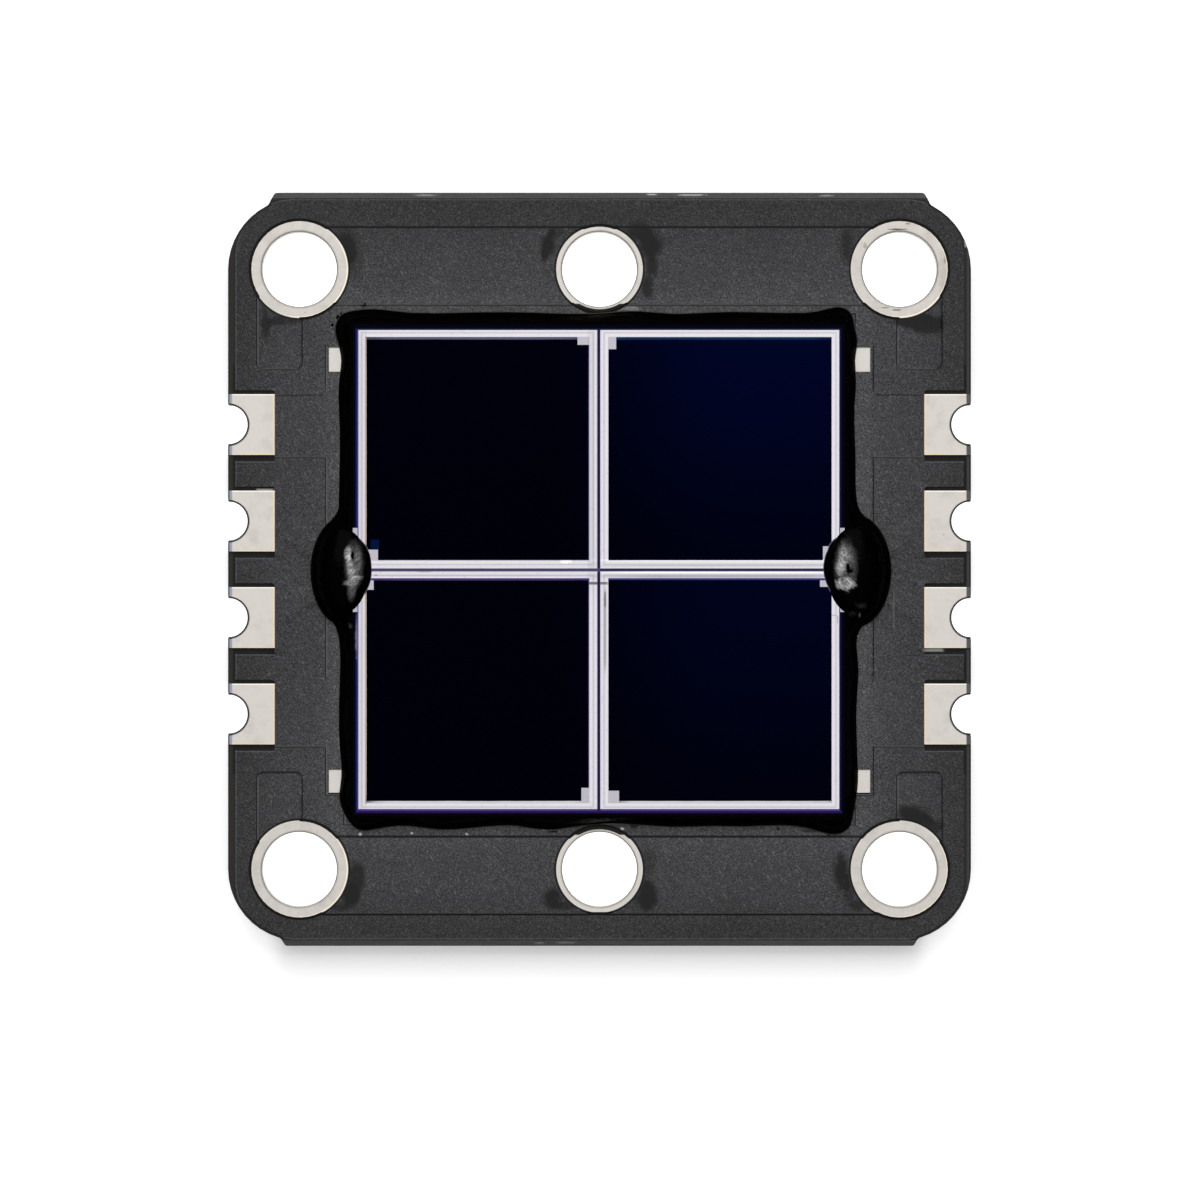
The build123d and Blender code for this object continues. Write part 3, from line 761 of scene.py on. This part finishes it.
def makeLinings():
    bpy.ops.object.select_all(action="DESELECT")
    low = lining["back"]
    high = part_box("cathode_copper")[1].z / mm + lining["above"]
    bpy.ops.mesh.primitive_cylinder_add(
        vertices=lining["vertices"], radius=lining["outer"], depth=high - low, end_fill_type="NOTHING"
    )
    piece = startPiece("halfHoleLinings")
    side = board["right"] / mm
    row = board["castellationPitch"] / mm
    bpy.ops.transform.translate(value=(side, -1.5 * row, (low + high) / 2))
    bpy.ops.mesh.bisect(
        plane_co=(side - lining["inset"], 0, 0), plane_no=(1, 0, 0), clear_outer=True, threshold=0.00001
    )
    bpy.ops.object.mode_set(mode="OBJECT")
    wall = piece.modifiers.new("wall", "SOLIDIFY")
    wall.thickness = lining["outer"] - lining["inner"]
    wall.offset = -1
    lips = piece.modifiers.new("lips", "BEVEL")
    lips.width = lining["lip"]
    lips.segments = 3
    rows = piece.modifiers.new("rows", "ARRAY")
    rows.count = 4
    rows.use_relative_offset = False
    rows.use_constant_offset = True
    rows.constant_offset_displace = (0, row, 0)
    sides = piece.modifiers.new("sides", "MIRROR")
    for modifier in (wall, lips, rows, sides):
        bpy.ops.object.modifier_apply(modifier=modifier.name)
    bpy.ops.object.mode_set(mode="EDIT")
    shrinkPiece()
    piece.data.materials.append(tinSkin)
    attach(piece, "root")


makeLinings()
print("stage: half hole linings")

# Silicon die: blue oxide beside the metal, violet below it, black above, and grey sawn sides
siliconLook = {
    "colour": (0.0004, 0.0005, 0.003),
    "gapColour": (0.015, 0.0135, 0.066),
    "leftGapColour": (0.085, 0.07, 0.18),
    "rightGapColour": (0.036, 0.034, 0.1),
    "leftColour": (0.012, 0.018, 0.12),
    "rightColour": (0.0025, 0.005, 0.036),
    "topColour": (0.001, 0.0018, 0.009),
    "bottomColour": (0.026, 0.01, 0.105),
    "paleStreakColour": (0.24, 0.21, 0.3),
    "sawnColour": (0.1, 0.1, 0.11),
    "oxideReach": 0.06 * mm,
    "metalEdge": 4.99 * mm,  # the outer edges of the metal
    "edgeSoft": 0.02 * mm,
    "raggedSize": 0.1 * mm,
    "roughness": 0.22,
    "specular": 0.015,
}
siliconPaleStreaks = [  # a pale violet streak over the left border
    (-5.025, -1.42, 0.03, 0.36, 0.55, 0.4, 1.0),
]


def makeSiliconSkin():
    skin = Skin("silicon", siliconLook)
    edge = siliconLook["metalEdge"]
    soft = siliconLook["edgeSoft"]
    right = skin.ramp(skin.x, -0.05 * mm, 0.05 * mm)
    levelGap = skin.mix(right, siliconLook["leftGapColour"], siliconLook["rightGapColour"])
    level = skin.band(skin.y, quadrant["shift"], 0.04 * mm, 0.02 * mm)
    oxide = skin.mix(level, siliconLook["gapColour"], levelGap)
    for part, low, high, shade in (
        (skin.x, -edge, -edge - soft, "leftColour"),
        (skin.x, edge - soft, edge, "rightColour"),
        (skin.y, edge - soft, edge, "topColour"),
        (skin.y, -edge, -edge - soft, "bottomColour"),
    ):
        oxide = skin.mix(skin.ramp(part, low, high), oxide, siliconLook[shade])
    reach = siliconLook["oxideReach"]
    skin.coat(oxide, skin.ramp(skin.insideFrame(), -reach, -0.2 * reach))
    ragged = skin.fray()
    skin.coat("paleStreakColour", skin.marks(ragged, siliconPaleStreaks))
    skin.coat("sawnColour", skin.ramp(skin.use(slopeGroup)["Lean"], 0.4, 0.9))
    return skin.close()


dress(makeSiliconSkin(), "silicon_die")
print("stage: silicon")

# Coated windows: almost black, with a painted bluish reflection to the right and upwards, and coloured
# fringes at some edges
windowLook = {
    "colour": (0.00008, 0.00008, 0.0012),
    "blueColour": (0.0002, 0.0014, 0.0165),
    "squareColour": (0.001, 0.007, 0.04),
    "tint": (0.2, 0.25, 1.0),
    "blueFrom": -1.2 * mm,
    "blueTo": 3.0 * mm,
    "lowerShare": 0.55,  # how blue the lower windows are beside the upper ones
    "raggedSize": 0.5 * mm,
    "roughness": 0.12,
    "specular": 0.02,
}
windowFringes = [  # side and row of the window, its edge, how wide in mm, and the colour
    (-1, 1, "top", 0.048, (0.095, 0.1, 0.19)),
    (1, 1, "top", 0.055, (0.0045, 0.026, 0.088)),
    (-1, -1, "top", 0.018, (0.06, 0.03, 0.15)),
    (1, -1, "top", 0.012, (0.02, 0.021, 0.14)),
    (-1, 1, "right", 0.018, (0.05, 0.035, 0.16)),
    (-1, -1, "right", 0.018, (0.06, 0.035, 0.16)),
    (-1, 1, "bottom", 0.01, (0.03, 0.03, 0.12)),
    (-1, -1, "bottom", 0.036, (0.62, 0.6, 0.64)),
    (1, -1, "bottom", 0.036, (0.62, 0.6, 0.64)),
    (-1, 1, "left", 0.012, (0.6, 0.5, 0.33)),
    (-1, -1, "left", 0.012, (0.6, 0.5, 0.33)),
]
windowSquare = (-4.65, 0.505, 0.085, 0.105, 1.0, 0.0, 0.3, 1.0)  # beside the left dome
edgeWays = {"top": (0, 1), "bottom": (0, -1), "right": (1, 0), "left": (-1, 0)}


def makeWindowSkin():
    skin = Skin("coatedWindow", windowLook)
    skin.wire(windowLook["tint"], skin.shader, "Specular Tint")
    # The painted reflection: bluer to the right and upwards, less in the lower windows
    across = skin.ramp(skin.x, windowLook["blueFrom"], windowLook["blueTo"], 0.06, 1.0)
    upper = skin.ramp(skin.y, -0.01 * mm, 0.01 * mm)
    inside = skin.ramp(upper, 0.0, 1.0, skin.plus(skin.y, 2 * quadrant["middle"]), skin.y)
    rise = skin.ramp(inside, 0.0, 4.9 * mm, 0.2, 1.0)
    rowShare = skin.ramp(upper, 0.0, 1.0, windowLook["lowerShare"], 1.0)
    skin.coat("blueColour", across, rise, rowShare)
    ragged = skin.noise(skin.place, windowLook["raggedSize"])
    half = (quadrant["half"] - quadrant["frameWidth"]) / mm
    for side, row, edge, width, shade in windowFringes:
        right, up = edgeWays[edge]
        x = (quadrant["shift"] + side * quadrant["fromMiddle"]) / mm + right * (half - width / 2)
        y = (quadrant["shift"] + row * quadrant["fromMiddle"]) / mm + up * (half - width / 2)
        size = (width / 2, half) if right else (half, width / 2)
        skin.coat(shade, skin.mark(ragged, x, y, *size, ragged=0.15, soft=0.6, square=1.0))
    skin.coat("squareColour", skin.mark(ragged, *windowSquare))
    return skin.close()


dress(makeWindowSkin(), "active_window")
print("stage: windows")

# Evaporated metal: bright bars with fine lines along them, a few dark marks, and painted glints
metalLook = {
    "colour": (0.665, 0.645, 0.685),
    "lineColour": (0.26, 0.245, 0.3),
    "warmColour": (0.34, 0.24, 0.12),
    "violetColour": (0.062, 0.03, 0.16),
    "blueColour": (0.03, 0.032, 0.17),
    "darkMarkColour": (0.12, 0.12, 0.13),
    "brightColour": (0.95, 0.94, 0.95),
    "grainSize": 0.06 * mm,
    "raggedSize": 0.12 * mm,
    "roughness": 0.42,
    "specular": 0.4,
    "metallic": 0.6,
    "warmLine": -4.838 * mm,
    "coatingLine": -0.208 * mm,
    "coatingHalf": 2.3 * mm,
}
metalStops = [  # share of the bar's width from its outer edge, and how much of the line colour
    (0.0, 0.6),
    (0.1, 0.05),
    (0.36, 0.1),
    (0.46, 0.5),
    (0.56, 0.22),
    (0.7, 0.0),
    (0.92, 0.05),
    (1.0, 0.55),
]
metalLaps = [  # the coating laps over the outer edges: axis, side, how far in mm, and the colour
    ("X", -1, 0.018, (0.1, 0.09, 0.3)),
    ("X", 1, 0.014, (0.02, 0.03, 0.12)),
    ("Y", 1, 0.024, (0.001, 0.003, 0.018)),
    ("Y", -1, 0.042, (0.05, 0.019, 0.178)),
]
metalDarkMarks = [  # dark lines and patches on the bars, most of them on the lower two frames
    (-0.035, -0.29, 0.21, 0.028, 0.9, 0.0, 0.5, 1.0),
    (0.115, -0.62, 0.026, 0.16, 0.35, 0.0, 0.3, 1.0),
    (0.115, -1.25, 0.026, 0.8, 0.5, 0.0, 0.5, 1.0),
    (2.6, -0.135, 2.3, 0.028, 0.35, 0.0, 0.9, 1.0),
    (-2.6, -0.13, 2.2, 0.02, 0.18, 0.0, 0.9, 1.0),
    (2.6, -0.17, 2.3, 0.02, 0.3, 0.0, 0.9, 1.0),
    (2.6, 0.075, 2.3, 0.018, 0.25, 0.0, 0.9, 1.0),
    (4.86, -0.955, 0.05, 0.016, 0.4, 0.3),
    (4.93, -1.04, 0.016, 0.09, 0.4, 0.2),
    (4.965, -1.46, 0.014, 0.36, 0.45, 0.0, 0.9, 1.0),
    (-4.92, 1.9, 0.1, 3.2, 0.15, 0.0, 0.5, 1.0),
    (-0.14, 2.4, 0.1, 2.6, 0.2, 0.0, 0.5, 1.0),
    (-4.92, -3.2, 0.1, 1.9, 0.12, 0.0, 0.5, 1.0),
    (-4.62, -0.12, 0.035, 0.035, 0.5, 0.9),
    (-3.62, -0.055, 0.16, 0.012, 0.4, 0.3),
]
metalGlints = [  # brighter lines along the bars, and a bright spot
    (-0.7, 0.16, 0.11, 0.035, 0.7, 0.6),
    (2.55, 0.185, 2.3, 0.02, 0.7, 0.0, 0.8, 1.0),
    (2.6, -0.065, 2.3, 0.022, 0.6, 0.0, 0.8, 1.0),
    (-0.085, 2.55, 0.018, 2.3, 0.4, 0.0, 0.8, 1.0),
]


def makeMetalSkin():
    skin = Skin("chipMetal", metalLook)
    inside = skin.insideFrame()
    share = skin.math("DIVIDE", inside, quadrant["frameWidth"], clamp=True)
    lines = skin.add("ShaderNodeValToRGB", Fac=share)
    stops = lines.color_ramp.elements
    while len(stops) < len(metalStops):
        stops.new(0.5)
    for stop, (position, value) in zip(stops, metalStops):
        stop.position = position
        stop.color = (value, value, value, 1.0)
    skin.coat("lineColour", lines.outputs["Color"])
    grain = skin.grain(metalLook["grainSize"])
    skin.coat("lineColour", skin.ramp(grain["Value"], 0.45, 0.25, 0.0, 0.25))
    # A warm line along the inner edge of the two left bars
    warm = skin.band(skin.x, metalLook["warmLine"], 0.012 * mm, 0.012 * mm)
    skin.coat("warmColour", warm, skin.ramp(share, 0.8, 0.88), 0.8)
    ragged = skin.fray()
    skin.coat("brightColour", skin.marks(ragged, metalGlints))
    skin.coat("darkMarkColour", skin.marks(ragged, metalDarkMarks))
    onFrame = skin.ramp(inside, -0.008 * mm, -0.002 * mm)
    for axis, side, reach, shade in metalLaps:
        outer = quadrant["shift"] * side + quadrant["fromMiddle"] + quadrant["half"]
        fromEdge = skin.minus(outer, skin.times(skin.x if axis == "X" else skin.y, side))
        lap = skin.ramp(fromEdge, (reach + 0.004) * mm, (reach - 0.004) * mm)
        skin.coat(shade, lap, onFrame)
    # The coating laps over the lower two frames' upper bars too
    left = skin.ramp(skin.x, 0.01 * mm, -0.01 * mm)
    coating = skin.mix(left, metalLook["blueColour"], metalLook["violetColour"])
    away = skin.size(skin.minus(skin.x, quadrant["shift"]))
    along = skin.band(away, quadrant["middle"], metalLook["coatingHalf"], 0.02 * mm)
    skin.coat(coating, skin.band(skin.y, metalLook["coatingLine"], 0.024 * mm, 0.008 * mm), along)
    return skin.close()


dress(makeMetalSkin(), "anode_frame", "edge_contact")
print("stage: chip metal")

# Black epoxy: glossy and slightly lumpy, with a painted highlight on each dome's crest, which is rougher
# there
epoxyLook = {
    "colour": (0.00012, 0.00012, 0.00015),
    "crestSheenColour": (0.6, 0.585, 0.6),
    "rimColour": (0.06, 0.05, 0.036),
    "rimHeight": 0.016 * mm,
    "mottleSize": 0.035 * mm,
    "streakSize": (0.05 * mm, 0.18 * mm, 0.1 * mm),
    "streakTurn": -42,  # degrees, on the left dome, and mirrored on the right one
    "metalRimColour": (0.085, 0.075, 0.12),
    "lumpSize": 0.22 * mm,
    "lumpDepth": 0.045 * mm,
    "roughness": 0.18,
    "scuffedRoughness": 0.45,
    "specular": 0.012,
}
crestSheens = [  # painted highlights on each crest, and darker spots within them
    (-5.08, 0.1, 0.17, 0.42, 0.14, 0.18, 0.8),
    (-5.2, 0.31, 0.07, 0.15, 0.5, 0.35, 0.9),
    (-5.17, 0.1, 0.06, 0.22, 0.36, 0.4, 1.1),
    (-5.11, -0.06, 0.07, 0.16, 0.26, 0.4, 1.1),
    (-5.04, -0.18, 0.12, 0.05, 0.36, 0.45, 1.0),
    (-5.13, -0.28, 0.13, 0.06, 0.4, 0.55, 1.0),
    (-5.12, -0.42, 0.08, 0.12, 0.18, 0.4, 1.3),
    (-5.0, 0.2, 0.07, 0.22, 0.05, 0.2, 1.0),
    (-5.12, 0.27, 0.03, 0.075, -0.5, 0.1, 1.3),
    (-5.14, -0.56, 0.06, 0.1, 0.08, 0.3, 1.2),
    (5.1, 0.08, 0.21, 0.45, 0.12, 0.2, 0.8),
    (5.04, 0.22, 0.09, 0.26, 0.36, 0.4, 0.9),
    (4.97, 0.02, 0.09, 0.16, 0.3, 0.35, 0.9),
    (5.08, -0.3, 0.2, 0.13, 0.6, 0.35, 0.4),
    (5.16, 0.3, 0.08, 0.16, 0.08, 0.3, 1.1),
    (5.13, 0.06, 0.034, 0.055, -0.34, 0.1, 1.3),
    (5.17, -0.04, 0.07, 0.05, -0.14, 0.3, 1.2),
    (5.02, -0.21, 0.018, 0.03, -0.45, 0.1, 0.8),
    (5.42, -0.76, 0.09, 0.05, 0.03, 0.9, 1.5),
    (5.385, -0.95, 0.016, 0.045, 0.16, 0.3, 1.2),
    (5.24, -0.92, 0.07, 0.05, 0.022, 0.9, 1.5),
    (-5.16, -1.18, 0.035, 0.05, 0.06, 0.7, 1.4),
]


def makeEpoxySkin(name, rimBase=None, rimColour=None):
    # A piece with a rim is tinted by it up to a little above the rim's base
    skin = Skin(name, epoxyLook)
    lumps = skin.noise(skin.place, epoxyLook["lumpSize"], 3.0, 0.55)
    left = skin.times(skin.size(skin.x), -1.0)
    mirrored = skin.add("ShaderNodeCombineXYZ", X=left, Y=skin.y, Z=skin.z)
    streaks = skin.streaks(mirrored.outputs["Vector"], epoxyLook["streakSize"], epoxyLook["streakTurn"])
    sheenAndScuff = skin.marks(streaks, crestSheens)
    fine = skin.ramp(skin.noise(skin.place, epoxyLook["mottleSize"], 3.0, 0.7), 0.36, 0.64, 0.6, 1.3)
    broad = skin.ramp(streaks, 0.38, 0.66, 0.45, 1.35)
    skin.coat("crestSheenColour", skin.math("MULTIPLY", skin.times(sheenAndScuff, fine), broad, clamp=True))
    if rimColour:
        height = epoxyLook["rimHeight"]
        skin.coat(rimColour, skin.ramp(skin.minus(skin.z, rimBase), height, 0.3 * height))
    skin.bump(lumps, epoxyLook["lumpDepth"], 0.5)
    return skin.close(skin.ramp(sheenAndScuff, 0.0, 0.5, epoxyLook["roughness"], epoxyLook["scuffedRoughness"]))


dress(makeEpoxySkin("blackEpoxy", board["maskTop"], "rimColour"), "die_edge_seal", "glob_top")
print("stage: epoxy")

# Epoxy that ran on: the feet of the two domes over the chip's metal, and droplets beside the bead.
# Both are so small that they are shaped a thousand times larger, in mm, and shrunk at the end.
domeFeet = {
    "left": {"middle": (-5.129, 0.005), "half": (0.423, 0.709, 0.1)},
    "right": {"middle": (5.088, 0.036), "half": (0.456, 0.711, 0.1)},
}
droplets = [
    {"middle": (-5.42, 5.22), "half": (0.042, 0.048, 0.019)},
    {"middle": (-5.54, 5.06), "half": (0.03, 0.035, 0.014)},
    {"middle": (-5.36, 5.3), "half": (0.022, 0.025, 0.01)},
]
runShape = {"segments": 96, "rings": 48, "lumpSize": 0.3, "lumpHeight": 0.025, "dropletSink": 0.039}


def shapeRun(name, run, foot, segments, rings):
    # A lumpy low dome, cut flat at its foot
    bpy.ops.object.select_all(action="DESELECT")
    bpy.ops.mesh.primitive_uv_sphere_add(segments=segments, ring_count=rings, radius=1)
    piece = startPiece(name)
    spot = (*run["middle"], foot)
    bpy.ops.transform.resize(value=run["half"], center_override=(0, 0, 0))
    bpy.ops.transform.translate(value=spot)
    bpy.ops.object.mode_set(mode="OBJECT")
    lumps = bpy.data.textures.new(name, "CLOUDS")
    lumps.noise_scale = runShape["lumpSize"]
    swell = piece.modifiers.new("lumps", "DISPLACE")
    swell.texture = lumps
    swell.strength = runShape["lumpHeight"] * min(1.0, run["half"][0] / domeFeet["left"]["half"][0])
    bpy.ops.object.modifier_apply(modifier=swell.name)
    bpy.ops.object.mode_set(mode="EDIT")
    bpy.ops.mesh.select_all(action="SELECT")
    bpy.ops.mesh.bisect(
        plane_co=spot, plane_no=(0, 0, 1), use_fill=True, clear_inner=True, threshold=0.00001
    )
    shrinkPiece()
    return piece


def finishRun(piece, material):
    piece.data.materials.append(material)
    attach(piece, "root")


def makeDomeFeet():
    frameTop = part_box("anode_frame_upper_left")[1].z
    material = makeEpoxySkin("footEpoxy", frameTop, "metalRimColour")
    for side, run in domeFeet.items():
        name = "domeFoot" + side.capitalize()
        foot = shapeRun(name, run, board["dieTop"] / mm, runShape["segments"], runShape["rings"])
        finishRun(foot, material)


def makeDroplets():
    foot = board["maskTop"] / mm - runShape["dropletSink"]
    segments, rings = runShape["segments"] // 4, runShape["rings"] // 4
    pieces = [shapeRun("epoxyDroplets", run, foot, segments, rings) for run in droplets]
    bpy.ops.object.select_all(action="DESELECT")
    for piece in pieces:
        piece.select_set(True)
    bpy.context.view_layer.objects.active = pieces[0]
    bpy.ops.object.join()
    finishRun(pieces[0], makeEpoxySkin("dropletEpoxy"))


makeDomeFeet()
makeDroplets()
print("stage: epoxy feet and droplets")

# Hidden pieces: silver-filled adhesive and gold wires
adhesiveLook = {
    "colour": (0.42, 0.42, 0.42),
    "darkFlake": (0.22, 0.22, 0.22),
    "paleFlake": (0.62, 0.62, 0.62),
    "flakeSize": 0.03 * mm,
    "roughness": 0.5,
    "metallic": 0.6,
}
goldLook = {
    "colour": (0.83, 0.6, 0.24),
    "grainSize": 0.03 * mm,
    "roughness": 0.18,
    "dullRoughness": 0.34,
    "metallic": 1.0,
}


def makeAdhesiveSkin():
    skin = Skin("silverAdhesive", adhesiveLook)
    flakes = skin.grain(adhesiveLook["flakeSize"])["Value"]
    skin.colour = skin.mix(flakes, adhesiveLook["darkFlake"], adhesiveLook["paleFlake"])
    return skin.close()


def makeGoldSkin():
    skin = Skin("goldWire", goldLook)
    drawn = skin.noise(skin.place, goldLook["grainSize"])
    return skin.close(skin.ramp(drawn, 0.3, 0.7, goldLook["roughness"], goldLook["dullRoughness"]))


dress(makeAdhesiveSkin(), "die_attach")
dress(makeGoldSkin(), "bond_wire")
print("stage: hidden pieces")

# Floor: pale, with painted light: it glows under the board, where the holes show it, and a little beside
# the board, where the glow weakens the shadow
floorLook = {
    "size": 3.0,
    "colour": (0.92, 0.92, 0.92),
    "glow": 0.25,
    "underGlow": 1.0,
    "underHoles": ((7.15 * mm, 7.15 * mm), (7.72 * mm, 3.75 * mm)),  # and half holes
    "underSoft": 0.15 * mm,
    "sideGlow": 0.13,  # glow that weakens the shadow at the board's sides
    "cornerGlow": 0.11,  # and more of it at its corners
    "cornerRadius": 1.6 * mm,
    "sideFrom": 6.7 * mm,
    "reach": 0.9 * mm,  # how far beyond the board that glow reaches
    "roughness": 0.9,
    "specular": 0.1,
}


def makeFloor():
    bpy.ops.object.select_all(action="DESELECT")
    bpy.ops.mesh.primitive_plane_add(size=floorLook["size"], location=(0, 0, cadBox[0][2]))
    floor = bpy.context.object
    floor.name = "floor"
    skin = Skin("paleFloor", floorLook)
    skin.wire((1, 1, 1), skin.shader, "Emission Color")
    width = skin.size(skin.x)
    height = skin.size(skin.y)
    under = 0.0
    soft = floorLook["underSoft"]
    for halfWidth, halfHeight in floorLook["underHoles"]:
        across = skin.ramp(width, halfWidth, halfWidth - soft)
        along = skin.ramp(height, halfHeight, halfHeight - soft)
        under = skin.most(under, skin.times(across, along))
    glow = skin.ramp(under, 0.0, 1.0, floorLook["glow"], floorLook["underGlow"])
    weak = skin.ramp(height, 6.2 * mm, 7.0 * mm, 0.0, floorLook["cornerGlow"])
    beside = skin.minus(1.0, skin.within(width, floorLook["sideFrom"], 0.5 * mm))
    beyond = skin.outside(board["right"], board["top"], floorLook["cornerRadius"])
    near = skin.ramp(beyond, floorLook["reach"], 0.0)
    weak = skin.times(skin.plus(weak, floorLook["sideGlow"]), beside, near)
    glow = skin.plus(glow, weak)
    skin.wire(glow, skin.shader, "Emission Strength")
    floor.data.materials.append(skin.close())


makeFloor()
print("stage: floor")

# Light: a large soft panel towards the top of the photo, under a sky that is brightest overhead
keyLight = {"lean": 38, "distance": 0.5, "size": 0.5, "power": 2.1}
sky = {"overhead": 0.85, "horizon": 0.22, "from": 0.5, "to": 0.88}


def makeLights():
    lamp = bpy.data.lights.new("keyPanel", "AREA")
    lamp.shape = "SQUARE"
    lamp.size = keyLight["size"]
    lamp.energy = keyLight["power"]
    panel = bpy.data.objects.new("keyPanel", lamp)
    lean = math.radians(keyLight["lean"])
    panel.location = (0, keyLight["distance"] * math.sin(lean), keyLight["distance"] * math.cos(lean))
    panel.rotation_euler = (-lean, 0, 0)
    bpy.context.scene.collection.objects.link(panel)
    world = bpy.data.worlds.new("softSky")
    world.use_nodes = True
    air = Nodes(world.node_tree)
    background = air.tree.nodes["Background"]
    up = air.split(air.add("ShaderNodeTexCoord").outputs["Generated"])["Z"]
    strength = air.ramp(up, sky["from"], sky["to"], sky["horizon"], sky["overhead"])
    air.wire(strength, background, "Strength")
    air.wire((1, 1, 1), background, "Color")
    bpy.context.scene.world = world


makeLights()

# Camera: straight above, through a long lens
lens = {"focal": 400, "sensor": 36, "middle": (0.0104, -0.637), "frameWidth": 24.87}  # mm


def makeCamera():
    data = bpy.data.cameras.new("camera")
    data.lens = lens["focal"]
    data.sensor_width = lens["sensor"]
    camera = bpy.data.objects.new("camera", data)
    away = lens["focal"] * lens["frameWidth"] / lens["sensor"] * mm
    camera.location = (lens["middle"][0] * mm, lens["middle"][1] * mm, board["maskTop"] + away)
    bpy.context.scene.collection.objects.link(camera)
    bpy.context.scene.camera = camera


makeCamera()
bpy.context.scene.view_settings.view_transform = "Standard"
print("stage: light and camera")
